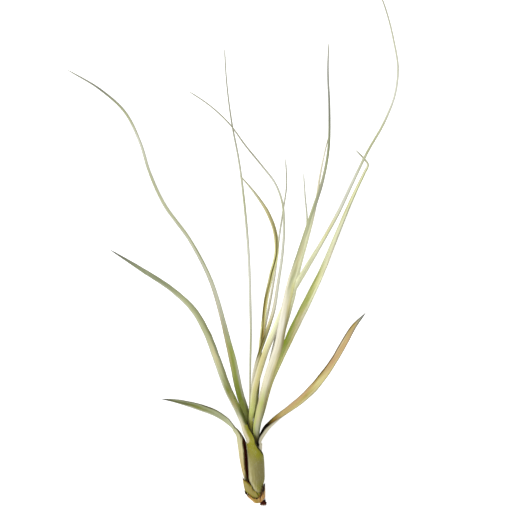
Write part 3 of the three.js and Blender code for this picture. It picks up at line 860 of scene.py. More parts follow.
@dataclass
class Leaf:
    """One leaf with its sheath: an arc across, carried along the leaf's line.

    A point at v across, from -1 to 1, and s along lies at
        centre(s) + radius (over sin a + back cos a), where a = -left + (v + 1) (left + right) / 2.
    The face lies inside the back by the leaf's thickness, which thins towards the margins. Waver
    is the share by which the two angles rise and fall, in waves of waver_length. Over the last
    taper millimetres the radius falls to tip_share of itself. Hairs grow beyond the first bare
    millimetres.
    """

    name: str
    table: list[Station]
    finish: LeafFinish
    across: int = 18
    spacing: float = 0.8
    thickness: float = 0.55
    margin_thickness: float = 0.16
    waver: float = 0.025
    waver_length: float = 9.0
    taper: float = 3.0
    tip_share: float = 0.45
    bare: float = 12.0
    seed: int = 1
    back: Array = field(init=False)
    face: Array = field(init=False)
    along: Array = field(init=False)
    reach: Array = field(init=False)
    arc: Array = field(init=False)

    def __post_init__(self) -> None:
        """Works out the leaf's two surfaces."""
        rows, self.along = cubic_stations(np.array(self.table), self.spacing)
        rows = self.living_line(rows)
        place, (radius, left, right, turn, hug) = rows[:, :3], rows[:, 3:].T
        line = unit(np.gradient(place, self.along, axis=0))
        side = unit(np.cross(line, [0.0, 0.0, 1.0]))
        up = np.cross(side, line)
        turn = np.radians(turn)[:, None]
        out = up * np.cos(turn) + side * np.sin(turn)
        over = side * np.cos(turn) - up * np.sin(turn)
        fold = np.radians((left + right) / 2)
        depth = radius * (1 - np.cos(np.minimum(fold, np.pi / 2))) / 2
        centre = place + out * ((1 - hug) * (depth - radius))[:, None]
        self.reach = np.sin(np.linspace(-np.pi / 2, np.pi / 2, self.across + 1))
        angle = np.radians(-left[:, None] + (self.reach + 1) / 2 * (left + right)[:, None])
        spoke = out[:, None] * np.cos(angle)[..., None] + over[:, None] * np.sin(angle)[..., None]
        middle = np.minimum(self.thickness, MIDRIB_SHARE * radius)[:, None]
        edge = np.minimum(self.margin_thickness, MARGIN_SHARE * radius)[:, None]
        thick = edge + (middle - edge) * (1 - np.abs(self.reach) ** 3)
        self.back = centre[:, None] + spoke * radius[:, None, None]
        self.back[..., 2] = np.maximum(self.back[..., 2], 0.0)
        self.face = centre[:, None] + spoke * (radius[:, None] - thick)[..., None]
        self.arc = radius[:, None] * (angle - angle.mean(axis=1, keepdims=True))

    def living_line(self, rows: Array) -> Array:
        """The stations with a tapered tip and small wavers of the margins.

        Args:
            rows: fine stations of the leaf.

        Returns:
            The same, less even.
        """
        rows = rows.copy()
        to_tip = self.along[-1] - self.along
        grown = np.clip(to_tip / self.taper, 0.0, 1.0) ** 0.7
        rows[:, 3] *= self.tip_share + (1 - self.tip_share) * grown
        rows[:, 4] *= 1 + self.waver * ripple(self.along, self.waver_length, self.seed)
        rows[:, 5] *= 1 + self.waver * ripple(self.along, self.waver_length, self.seed + 1)
        return rows

    def length(self) -> float:
        """The leaf's length in millimetres."""
        return float(self.along[-1])

    def build(self) -> bpy.types.Object:
        """Makes the leaf's mesh.

        Returns:
            The piece, with its notes: "leaf" is distance along, place across and 1 on the face;
            "skin" is distance along and across in millimetres, and which side it is.
        """
        rings = np.concatenate([self.back, self.face[:, ::-1]], axis=1)
        count, around = rings.shape[:2]
        quads = np.concatenate([
            wrapped_quads(count, around, loop=False),
            ladder_quads(0, around),
            ladder_quads((count - 1) * around, around)[:, ::-1],
        ])
        across = np.concatenate([self.reach, self.reach[::-1]])
        inner = np.concatenate([np.zeros(self.across + 1), np.ones(self.across + 1)])
        arc = np.concatenate([self.arc, self.arc[:, ::-1]], axis=1)
        along = np.broadcast_to(self.along[:, None], arc.shape)
        leaf = np.stack(np.broadcast_arrays(along, across[None], inner[None]), axis=-1)
        shift = inner[None] * SIDE_SHIFT + self.seed
        skin = np.stack(np.broadcast_arrays(along, arc, shift), axis=-1)
        notes = {"leaf": leaf.reshape(-1, 3), "skin": skin.reshape(-1, 3)}
        return mesh_piece(f"{self.name}_blade", rings.reshape(-1, 3), quads, notes)

    def hairs(self, sizes: HairSizes) -> bpy.types.Object:
        """Makes the short pale hairs that lie along the leaf, most of them near its margins.

        Args:
            sizes: the hairs' sizes.

        Returns:
            The piece.
        """
        rng = np.random.default_rng(self.seed + HAIR_SEED)
        count = int(self.length() * sizes.per_mm)
        first = int(np.searchsorted(self.along, self.bare))
        ring = rng.integers(first, len(self.along) - 3, count)
        place = np.sign(rng.uniform(-1, 1, count)) * rng.uniform(0, 1, count) ** 0.5
        column = np.rint((place + 1) / 2 * self.across).astype(int)
        on_face = rng.uniform(0, 1, count) < 0.5
        surface = np.where(on_face[:, None], self.face[ring, column], self.back[ring, column])
        out = unit(self.back[ring, column] - self.face[ring, column])
        out[on_face] *= -1
        line = unit(self.back[ring + 1, column] - self.back[ring, column])
        length = rng.uniform(*sizes.length, count)[:, None]
        tilt = rng.uniform(*sizes.tilt, count)[:, None]
        tips = surface + length * unit(line + tilt * out)
        tips[:, 2] = np.maximum(tips[:, 2], sizes.floor)
        width = rng.uniform(*sizes.width, count)
        return spikes(f"{self.name}_hairs", surface - sizes.sunk * out, tips, width, {})

    def dress(self, groups: SharedGroups, hair: bpy.types.Material) -> None:
        """Builds the leaf and its hairs and hands them over.

        Args:
            groups: the shared node groups.
            hair: what the hairs are made of.
        """
        material = self.finish.material(self.name, self.length(), groups)
        hand_over(self.build(), material, self.name)
        hand_over(self.hairs(HairSizes()), hair)


def hair_material() -> bpy.types.Material:
    """The hairs: pale and matt, a little darker in places.

    Returns:
        The material.
    """
    board, shader, material = new_material("leaf_hair")
    patch = board.noise(board.add("ShaderNodeTexCoord").outputs["Object"], 120.0)
    colour = board.blend(board.step(patch, 0.35, 0.65), Tint.SILVER.linear, Tint.FROST.linear)
    board.feed(shader.inputs["Base Color"], colour)
    shader.inputs["Roughness"].default_value = 0.7
    shader.inputs["Specular IOR Level"].default_value = 0.2
    return material


def left_arch_leaf() -> Leaf:
    """The front left leaf. Its olive sheath is the front of the tube at the base.

    Returns:
        The leaf.
    """
    finish = LeafFinish(
        slot="leaf_silver",
        back=Coat(
            # Painted light: the rows start light at 0 mm, cream on the left, to offset the shadow
            # that the olive cup's rim casts on the foot of the tube.
            left=((0, Tint.CREAM), (6, Tint.KHAKI), (30, Tint.OLIVE), (36, Tint.IVORY),
                  (46, Tint.PALE_SILVER), (66, Tint.PALE_SILVER), (100, Tint.SILVER),
                  (120, Tint.PALE_SILVER), (150, Tint.GREY_SAGE), (168, Tint.SLATE)),
            middle=((0, Tint.KHAKI), (3, Tint.OLIVE), (8, Tint.DULL_OLIVE), (16, Tint.DULL_OLIVE),
                    (25, Tint.OLIVE), (30, Tint.YELLOW_OLIVE), (36, Tint.GOLD), (48, Tint.SAGE),
                    (54, Tint.KHAKI), (63, Tint.LEAF_GREEN), (72, Tint.SAGE_GREEN),
                    (84, Tint.CREAM), (96, Tint.SAGE_GREEN), (120, Tint.SAGE_GREEN),
                    (132, Tint.GREY_SAGE), (150, Tint.GREY_SAGE), (168, Tint.SLATE)),
            # Painted shade: the deep olive from 30 to 38 mm down the right edge is the shade beside
            # the crevice at the ear.
            right=((0, Tint.OLIVE), (4, Tint.OLIVE), (12, Tint.KHAKI), (24, Tint.LEAF_GREEN),
                   (30, Tint.DEEP_OLIVE), (38, Tint.DEEP_OLIVE), (48, Tint.LEAF_GREEN),
                   (57, Tint.LEAF_GREEN), (64, Tint.OLIVE_SAGE), (72, Tint.OLIVE_SAGE),
                   (84, Tint.GREY_SAGE), (96, Tint.OLIVE_SAGE), (120, Tint.SAGE),
                   (144, Tint.GREY_SAGE), (168, Tint.SLATE))),
        face=even_coat((0, Tint.BARK), (30, Tint.UMBER), (40, Tint.DEEP_OLIVE), (80, Tint.OLIVE),
                       (168, Tint.SLATE)),
        washes=(
            # The cream wash down the left of the tube and the ivory one above it are partly pale
            # margin and partly painted highlight on the flank that faces the lamp. The dark green and
            # black-brown washes on the right are painted shade: the blade's shaded right side and the
            # crevice at the ear.
            Wash(Tint.CREAM, 0, 34, 3, 3, -1.0, 0.62, 0.95),
            Wash(Tint.YELLOW_OLIVE, 22, 40.6, 5, 0.8, 0.6, 0.78, 0.95),
            Wash(Tint.IVORY, 34, 44, 2.5, 8, -0.7, 1.05, 0.85, slant=4),
            Wash(Tint.DARK_GREEN, 41.6, 46, 0.6, 10, 0.8, 0.7, 0.85),
            Wash(Tint.BLACK_BROWN, 24, 42, 6, 1.5, 1.0, 0.28, 0.95),
        ),
        flecks=0.4, fleck_reach=(41, 78), margin=0.4, margin_tint=Tint.DEEP_OLIVE)
    return Leaf("leaf_left_arch", [
        sheath(6.2, 0.4, 0.1, 2.7, 40, 80, 0),
        sheath(9.6, 0.1, 0.1, 3.3, 60, 110, 0),
        sheath(13.2, 0.15, 0.1, 4.35, 80, 130, -3),
        sheath(18.4, 0.2, 0.1, 4.6, 86, 138, -6),
        sheath(23.5, 0.2, 0.2, 4.6, 84, 125, -9),
        sheath(27.5, 0.1, 0.3, 4.55, 78, 88, -13),
        sheath(31.5, -0.1, 0.6, 4.45, 72, 56, -19),
        sheath(35.5, -0.2, 0.8, 4.45, 66, 38, -26),
        blade(-9.0, 41.0, 12.8, 5.1, 58, -33),
        blade(-10.6, 46.0, 14.3, 4.9, 55, -33),
        blade(-13.0, 51.6, 16.0, 4.7, 52, -30),
        blade(-18.8, 63.6, 18.2, 4.8, 48, -26),
        blade(-24.8, 80.2, 20.7, 4.6, 46, -24),
        blade(-31.1, 96.6, 22.4, 4.1, 44, -22),
        blade(-37.6, 107.8, 23.2, 3.7, 42, -22),
        blade(-49.1, 118.9, 23.4, 3.1, 42, -22),
        blade(-65.9, 130.1, 22.4, 2.6, 40, -20),
        blade(-83.6, 141.2, 20.0, FINEST_WIDTH, 35, -20),
    ], finish, across=36, spacing=0.6, seed=11)


def lower_left_leaf() -> Leaf:
    """The short leaf that bends left, with a sheath that stands off the tube.

    Returns:
        The leaf.
    """
    finish = LeafFinish(
        slot="leaf_sage",
        back=Coat(
            left=((0, Tint.CREAM), (40, Tint.CREAM), (46, Tint.PALE_SILVER),
                  (62, Tint.PALE_SILVER), (72, Tint.GREY_SAGE), (78, Tint.CHARCOAL)),
            middle=((0, Tint.KHAKI), (10, Tint.TAN), (22, Tint.CREAM), (36, Tint.SILVER),
                    (48, Tint.SAGE), (58, Tint.LEAF_GREEN), (66, Tint.DUSK_GREEN),
                    (73, Tint.DUSK_GREEN), (78, Tint.CHARCOAL)),
            right=((0, Tint.KHAKI), (10, Tint.TAN), (22, Tint.CREAM), (36, Tint.SILVER),
                   (48, Tint.SAGE), (60, Tint.GREY_SAGE), (72, Tint.GREY_SAGE),
                   (78, Tint.CHARCOAL))),
        # Painted shade: the mahogany and umber of the face, seen in the hollow between the sheath and
        # the tube.
        face=even_coat((0, Tint.MAHOGANY), (26, Tint.MAHOGANY), (34, Tint.UMBER),
                       (44, Tint.DEEP_OLIVE), (78, Tint.CHARCOAL)),
        washes=(
            # Painted shade: the umber and black-brown washes on the right margin are the dark crevice
            # between the sheath and the tube, and the deep olive one is the shade inside the channel
            # along the blade's upper edge.
            Wash(Tint.UMBER, 0, 30, 5, 6, 1.0, 0.14, 0.95),
            Wash(Tint.BLACK_BROWN, 0, 4.5, 3, 4, 1.0, 0.4, 0.95),
            Wash(Tint.DEEP_OLIVE, 30, 66, 5, 8, 1.0, 0.3, 0.9),
        ),
        margin=0.6, margin_tint=Tint.DEEP_OLIVE)
    return Leaf("leaf_lower_left", [
        sheath(10.4, -3.7, 0.3, 2.45, 90, 60, -92),
        sheath(13.8, -4.05, 0.2, 2.65, 100, 66, -92),
        sheath(18.4, -4.65, 0.1, 3.15, 109, 70, -92),
        sheath(26.0, -5.1, 0, 3.85, 115, 78, -92),
        sheath(33.6, -5.7, -0.4, 3.7, 110, 84, -91),
        sheath(39.4, -6.6, -1.3, 3.45, 90, 78, -84),
        sheath(43.6, -9.8, -2.2, 3.1, 84, 62, -70),
        blade(-18.8, 45.1, 7.6, 4.9, 56, -54),
        blade(-25.1, 49.6, 7.0, 4.9, 48, -40),
        blade(-33.5, 53.0, 6.0, 4.6, 45, -32),
        blade(-42.5, 55.6, 5.0, 3.5, 42, -32),
        blade(-49.9, 57.3, 4.4, 2.1, 40, -35),
        blade(-56.1, 58.1, 4.0, FINEST_WIDTH, 35, -40),
    ], finish, across=26, spacing=0.6, seed=21)


def right_tan_leaf() -> Leaf:
    """The tan leaf on the right, whose inner face is painted black-brown at the root: painted shade
    deep in its channel.

    Returns:
        The leaf.
    """
    finish = LeafFinish(
        slot="leaf_tan",
        back=even_coat((0, Tint.LIME), (16, Tint.IVORY), (50, Tint.IVORY), (70, Tint.STRAW),
                       (108, Tint.TAN), (117, Tint.CHARCOAL)),
        # Painted shade: the face is black-brown up to 32 to 35 mm, the shade deep in the sheath's
        # channel.
        face=Coat(
            left=((0, Tint.BLACK_BROWN), (32, Tint.BLACK_BROWN), (37, Tint.OCHRE), (42, Tint.TAN),
                  (50, Tint.SAND), (60, Tint.SAND), (72, Tint.GOLD), (84, Tint.SAND),
                  (96, Tint.BUFF), (108, Tint.OCHRE), (112, Tint.GREY_OLIVE),
                  (117, Tint.CHARCOAL)),
            middle=((0, Tint.BLACK_BROWN), (32, Tint.BLACK_BROWN), (36, Tint.RUST), (42, Tint.TAN),
                    (50, Tint.TAN), (60, Tint.GOLD), (70, Tint.STRAW), (84, Tint.SAND),
                    (108, Tint.TAN), (113, Tint.ASH), (117, Tint.CHARCOAL)),
            right=((0, Tint.BLACK_BROWN), (35, Tint.BLACK_BROWN), (40, Tint.TAN), (50, Tint.STRAW),
                   (62, Tint.CREAM), (72, Tint.STRAW), (98, Tint.SAND), (111, Tint.GREY_OLIVE),
                   (117, Tint.CHARCOAL))),
        washes=(
            # Painted shade: the umber wash on the face's left darkens the channel's left wall, which
            # faces away from the lamp.
            Wash(Tint.UMBER, 72, 106, 8, 5, -1.0, 0.32, 0.9, Side.FACE),
        ),
        scale_tint=Tint.STRAW, shine=0.06, margin=0.6, margin_tint=Tint.DEEP_OLIVE)
    return Leaf("leaf_right_tan", [
        sheath(14, 0.1, 0, 3.1, 76, 70, 95),
        sheath(20, 0.1, 0, 3.3, 78, 72, 95),
        sheath(26, 0.1, -0.1, 3.3, 78, 72, 96),
        sheath(31, 0.6, -0.5, 3.5, 74, 70, 98),
        sheath(34.5, 0.9, -0.6, 3.7, 70, 68, 101),
        blade(0.5, 38.7, 9.0, 5.8, 82, 102),
        blade(2.6, 41.9, 9.8, 5.8, 86, 104),
        blade(5.2, 44.6, 10.6, 5.6, 82, 108),
        blade(9.5, 48.4, 11.7, 5.4, 70, 116),
        blade(14.9, 52.5, 13.0, 5.2, 56, 128),
        blade(21.2, 57.6, 14.6, 5.1, 46, 142),
        blade(27.3, 63.4, 16.0, 5.2, 42, 150),
        blade(32.2, 69.2, 17.2, 5.0, 45, 154),
        blade(39.9, 80.3, 19.4, 4.0, 47, 162),
        blade(46.2, 91.4, 21.0, 3.8, 46, 166),
        blade(50.5, 98.8, 22.0, 2.9, 43, 168),
        blade(57.0, 106.5, 23.0, FINEST_WIDTH, 35, 168),
    ], finish, across=26, spacing=0.6, bare=42.0, seed=31)


def left_long_leaf() -> Leaf:
    """The long leaf at the back left, with its channel facing up.

    Returns:
        The leaf.
    """
    finish = LeafFinish(
        slot="leaf_green",
        back=even_coat((0, Tint.LIME), (60, Tint.SAGE), (200, Tint.SILVER), (260, Tint.SLATE)),
        # Painted shade: the face is bark-dark for its first 24 mm, where it goes in among the other
        # leaves. Painted light: the lime at about 36 mm is lighter to offset the shadow that the
        # leaves above cast there.
        face=Coat(
            left=((0, Tint.BARK), (24, Tint.BARK), (29, Tint.MOSS), (36, Tint.LIME),
                  (48, Tint.VIVID_GREEN), (60, Tint.LIME), (72, Tint.STRAW), (84, Tint.CREAM),
                  (96, Tint.IVORY), (120, Tint.PALE_SILVER), (156, Tint.PALE_SILVER),
                  (180, Tint.SILVER), (204, Tint.FROST), (216, Tint.SILVER),
                  (240, Tint.GREY_OLIVE), (260, Tint.STONE)),
            middle=((0, Tint.BARK), (24, Tint.BARK), (29, Tint.LEAF_GREEN), (36, Tint.LIME),
                    (46, Tint.VIVID_GREEN), (60, Tint.FRESH_GREEN), (72, Tint.FRESH_GREEN),
                    (84, Tint.SILVER), (96, Tint.PALE_SILVER), (120, Tint.PALE_SILVER),
                    (156, Tint.SILVER), (180, Tint.SILVER), (204, Tint.FROST), (216, Tint.SILVER),
                    (240, Tint.GREY_OLIVE), (260, Tint.STONE)),
            right=((0, Tint.BARK), (24, Tint.BARK), (29, Tint.LEAF_GREEN), (38, Tint.LEAF_GREEN),
                   (47, Tint.SILVER), (60, Tint.PALE_SILVER), (72, Tint.FRESH_GREEN),
                   (84, Tint.SILVER), (108, Tint.PALE_SILVER), (120, Tint.SAGE_GREEN),
                   (132, Tint.SAGE), (144, Tint.SILVER), (196, Tint.PALE_SILVER),
                   (216, Tint.SILVER), (240, Tint.GREY_OLIVE), (260, Tint.STONE))),
        margin=0.4, margin_tint=Tint.GREY_OLIVE)
    return Leaf("leaf_left_long", [
        sheath(14, 0, 0, 3.1, 55, 56, -127),
        sheath(20, 0, -0.1, 3.3, 56, 57, -127),
        sheath(28, 0, -0.2, 3.4, 54, 57, -128),
        sheath(34, -0.1, -0.5, 3.5, 50, 55, -132),
        blade(-7.4, 41.0, 8.0, 5.2, 52, -142),
        blade(-8.8, 49.6, 9.2, 4.5, 48, -155),
        blade(-12.3, 61.2, 9.6, 4.3, 44, -168),
        blade(-16.0, 78.8, 8.7, 4.1, 42, -176),
        blade(-19.0, 91.0, 7.6, 3.3, 42, -179),
        blade(-21.8, 102.2, 6.4, 2.8, 42, -180),
        blade(-28.6, 124.3, 4.2, 2.3, 42, -180),
        blade(-40.0, 146.4, 2.4, 2.0, 42, -180),
        blade(-55.35, 168.1, 0.9, 1.8, 42, -180),
        blade(-62.85, 184.8, 0.3, 1.6, 42, -180),
        blade(-68.1, 201.4, 0.15, 1.5, 42, -180),
        blade(-76.7, 218.5, 0.5, 1.4, 40, -180),
        blade(-90.4, 231.0, 1.9, 1.1, 38, -180),
        blade(-108.2, 241.6, 5.0, FINEST_WIDTH, 35, -180),
    ], finish, across=24, bare=30.0, seed=41)


def centre_front_leaf() -> Leaf:
    """The tall leaf in front, which shows its back.

    Returns:
        The leaf.
    """
    finish = LeafFinish(
        slot="leaf_silver",
        back=Coat(
            # Painted shade: the bark and bronze at the root are the dark crevice between the tube's
            # notch and this leaf.
            left=((0, Tint.BARK), (4, Tint.LEAF_GREEN), (12, Tint.LIME), (24, Tint.CREAM),
                  (36, Tint.IVORY), (60, Tint.MILK), (84, Tint.MILK), (99, Tint.IVORY),
                  (110, Tint.SAGE), (126, Tint.SAGE_GREEN), (140, Tint.SILVER),
                  (154, Tint.SAGE_GREEN), (168, Tint.STONE), (180, Tint.SAGE),
                  (192, Tint.GREY_OLIVE), (216, Tint.ASH), (231, Tint.STONE)),
            middle=((0, Tint.BARK), (3, Tint.BRONZE), (8, Tint.SILVER), (15, Tint.CREAM),
                    (24, Tint.LIME), (36, Tint.IVORY), (60, Tint.IVORY), (72, Tint.MILK),
                    (84, Tint.IVORY), (98, Tint.SAGE_GREEN), (112, Tint.CREAM), (126, Tint.SILVER),
                    (140, Tint.SAGE), (154, Tint.STONE), (168, Tint.SAGE), (192, Tint.GREY_OLIVE),
                    (216, Tint.ASH), (231, Tint.STONE)),
            # The lemon and pale lemon from 94 to 130 mm down the right edge are partly the leaf's own
            # pale colour and partly painted light that offsets the shade on the side away from the
            # lamp.
            right=((0, Tint.BARK), (12, Tint.SAGE), (24, Tint.KHAKI), (36, Tint.CREAM),
                   (48, Tint.STRAW), (60, Tint.KHAKI), (72, Tint.KHAKI), (84, Tint.STRAW),
                   (94, Tint.LEMON), (100, Tint.PALE_LEMON), (130, Tint.PALE_LEMON),
                   (142, Tint.STONE), (168, Tint.SAGE), (192, Tint.GREY_OLIVE),
                   (231, Tint.STONE))),
        face=even_coat((0, Tint.DEEP_OLIVE), (231, Tint.SAGE)),
        margin=0.35, margin_tint=Tint.DULL_OLIVE)
    return Leaf("leaf_centre_front", [
        sheath(35.0, 0.3, 0.1, 2.6, 38, 40, 20),
        blade(-3.0, 38.8, 12.2, 3.6, 50, 16),
        blade(-2.9, 42.3, 13.5, 4.2, 52, 8),
        blade(-2.3, 46.3, 15.0, 4.3, 50, 4),
        blade(-1.6, 50.3, 16.4, 4.3, 48, 0),
        blade(-0.7, 54.3, 17.6, 4.3, 46, -2),
        blade(1.4, 63.8, 20.5, 4.5, 45, -4),
        blade(4.9, 76.0, 24.5, 4.8, 44, -6),
        blade(8.6, 87.0, 28.0, 4.8, 42, -6),
        blade(11.5, 102.3, 33.0, 4.8, 42, -8),
        blade(15.6, 122.5, 40.0, 4.5, 42, -8),
        blade(21.0, 140.4, 46.0, 3.7, 42, -8),
        blade(27.4, 162.1, 52.5, 2.3, 42, -8),
        blade(32.5, 178.3, 57.5, 1.7, 42, -6),
        blade(35.5, 194.4, 62.0, 1.4, 42, -6),
        blade(36.0, 215.8, 67.0, 1.2, 42, -4),
        blade(35.1, 237.1, 71.0, 1.0, 40, -4),
        blade(35.4, 251.3, 73.0, FINEST_WIDTH, 35, -4),
    ], finish, across=24, seed=51)


def right_green_leaf() -> Leaf:
    """The green leaf at the back right, with its channel up and its tip bent.

    Returns:
        The leaf.
    """
    finish = LeafFinish(
        slot="leaf_green",
        back=even_coat((0, Tint.LIME), (179, Tint.SAGE)),
        # Painted shade: the face is bark-dark at the root, where the leaf goes in among the others.
        # The pale lemon stops from about 84 to 158 mm are partly the leaf's own pale colour and
        # partly painted light that offsets the shade the leaves above cast on this low leaf.
        face=Coat(
            left=((0, Tint.BARK), (7, Tint.BARK), (13, Tint.SAGE_GREEN), (24, Tint.STRAW),
                  (36, Tint.STRAW), (43, Tint.FRESH_GREEN), (52, Tint.VIVID_GREEN),
                  (62, Tint.VIVID_GREEN), (72, Tint.FRESH_GREEN), (84, Tint.LIME), (99, Tint.LIME),
                  (110, Tint.PALE_LEMON), (128, Tint.PALE_LEMON), (142, Tint.LEMON),
                  (168, Tint.IVORY), (179, Tint.STONE)),
            middle=((0, Tint.BARK), (7, Tint.BARK), (13, Tint.SAGE), (24, Tint.GOLD),
                    (36, Tint.STRAW), (48, Tint.LIME), (57, Tint.FRESH_GREEN), (72, Tint.STRAW),
                    (84, Tint.LIME), (96, Tint.LEMON), (108, Tint.PALE_LEMON),
                    (158, Tint.PALE_LEMON), (168, Tint.FROST), (179, Tint.STONE)),
            right=((0, Tint.BARK), (7, Tint.BARK), (13, Tint.SAGE), (24, Tint.STRAW),
                   (48, Tint.LEMON), (60, Tint.STRAW), (72, Tint.IVORY), (84, Tint.PALE_LEMON),
                   (98, Tint.PALE_LEMON), (112, Tint.IVORY), (126, Tint.PALE_SILVER),
                   (140, Tint.SILVER), (165, Tint.LIME), (179, Tint.STONE))),
        margin=0.5, margin_tint=Tint.LEAF_GREEN, dots=0.7)
    return Leaf("leaf_right_green", [
        sheath(35.5, 0.2, -0.2, 2.5, 34, 34, 152),
        blade(-2.8, 41.0, 7.2, 3.3, 46, 158),
        blade(-1.5, 46.4, 7.7, 3.3, 44, 166),
        blade(0.3, 52.6, 8.0, 3.3, 42, 174),
        blade(4.3, 67.1, 7.9, 3.4, 42, 180),
        blade(9.8, 80.2, 7.0, 3.9, 42, 180),
        blade(17.4, 96.7, 5.6, 4.7, 44, 180),
        blade(25.7, 113.4, 4.3, 4.5, 46, 180),
        blade(33.6, 129.8, 3.1, 3.5, 48, 180),
        blade(40.4, 146.2, 2.1, 2.8, 48, 180),
        blade(47.2, 162.7, 0.75, 2.2, 46, 180),
        blade(52.7, 175.0, 0.3, 1.7, 44, 180),
        blade(57.3, 184.6, 0.25, 1.4, 42, 180),
        blade(59.2, 188.9, 0.8, 1.2, 40, 180),
        blade(56.6, 192.6, 2.8, 1.0, 38, 180),
        blade(52.2, 197.0, 5.6, FINEST_WIDTH, 35, 180),
    ], finish, across=20, seed=61)


def top_right_long_leaf() -> Leaf:
    """The longest leaf, which leans out to the right and curls back at its tip.

    Returns:
        The leaf.
    """
    finish = LeafFinish(
        slot="leaf_lime",
        back=Coat(
            # Painted shade: bark at the root, the shade of the rosette's heart. The pale lemon stops
            # from 64 to about 118 mm are partly the leaf's own pale colour and partly painted light
            # that offsets the shade falling on the leaf there.
            left=((0, Tint.BARK), (9, Tint.OLIVE), (16, Tint.LIME), (32, Tint.IVORY),
                  (48, Tint.STRAW), (64, Tint.PALE_LEMON), (112, Tint.PALE_LEMON),
                  (128, Tint.IVORY), (144, Tint.FROST), (160, Tint.PALE_SILVER),
                  (176, Tint.SILVER), (192, Tint.SILVER), (208, Tint.FROST),
                  (224, Tint.PALE_SILVER), (240, Tint.PALE_SILVER), (275, Tint.STONE)),
            middle=((0, Tint.BARK), (9, Tint.OLIVE), (16, Tint.LIME), (32, Tint.STRAW),
                    (48, Tint.STRAW), (64, Tint.PALE_LEMON), (118, Tint.PALE_LEMON),
                    (128, Tint.LEMON), (144, Tint.FROST), (160, Tint.FROST), (176, Tint.SILVER),
                    (192, Tint.SILVER), (208, Tint.FROST), (240, Tint.PALE_SILVER),
                    (275, Tint.STONE)),
            right=((0, Tint.BARK), (9, Tint.OLIVE), (16, Tint.LIME), (32, Tint.STRAW),
                   (48, Tint.CREAM), (64, Tint.IVORY), (80, Tint.PALE_LEMON),
                   (100, Tint.PALE_LEMON), (120, Tint.PALE_SILVER), (150, Tint.PALE_SILVER),
                   (176, Tint.SILVER), (208, Tint.FROST), (240, Tint.PALE_SILVER),
                   (275, Tint.STONE))),
        face=even_coat((0, Tint.DEEP_OLIVE), (275, Tint.SAGE)),
        margin=0.25, margin_tint=Tint.OLIVE, scale_tint=Tint.MILK)
    return Leaf("leaf_top_right_long", [
        sheath(37.0, -0.3, 0.2, 2.7, 21, 21, -52),
        blade(-6.65, 41.3, 11.9, 2.3, 40, -28),
        blade(-6.4, 45.3, 13.1, 2.6, 42, -16),
        blade(-6.0, 49.8, 14.7, 2.8, 42, -8),
        blade(-5.4, 53.8, 16.0, 3.1, 42, -4),
        blade(-4.4, 63.4, 18.0, 3.3, 42, -4),
        blade(-2.2, 72.0, 20.0, 3.5, 42, -4),
        blade(2.1, 85.5, 23.0, 3.4, 42, -4),
        blade(8.0, 99.7, 26.5, 3.3, 42, -4),
        blade(13.8, 113.3, 30.0, 3.2, 42, -4),
        blade(23.0, 129.3, 34.0, 3.0, 42, -4),
        blade(32.8, 145.8, 38.0, 2.2, 42, -4),
        blade(41.7, 162.1, 42.0, 2.1, 42, -4),
        blade(49.2, 178.1, 45.5, 1.7, 42, -4),
        blade(57.1, 194.4, 49.0, 1.4, 42, -4),
        blade(66.1, 210.4, 52.0, 1.3, 42, -4),
        blade(72.0, 226.3, 54.5, 1.2, 42, -4),
        blade(73.3, 239.1, 56.0, 1.1, 42, -4),
        blade(71.1, 253.2, 57.5, 1.0, 40, -4),
        blade(65.2, 274.7, 59.0, 0.8, 38, -4),
        blade(60.4, 286.0, 59.5, FINEST_WIDTH, 35, -4),
    ], finish, across=20, seed=71)


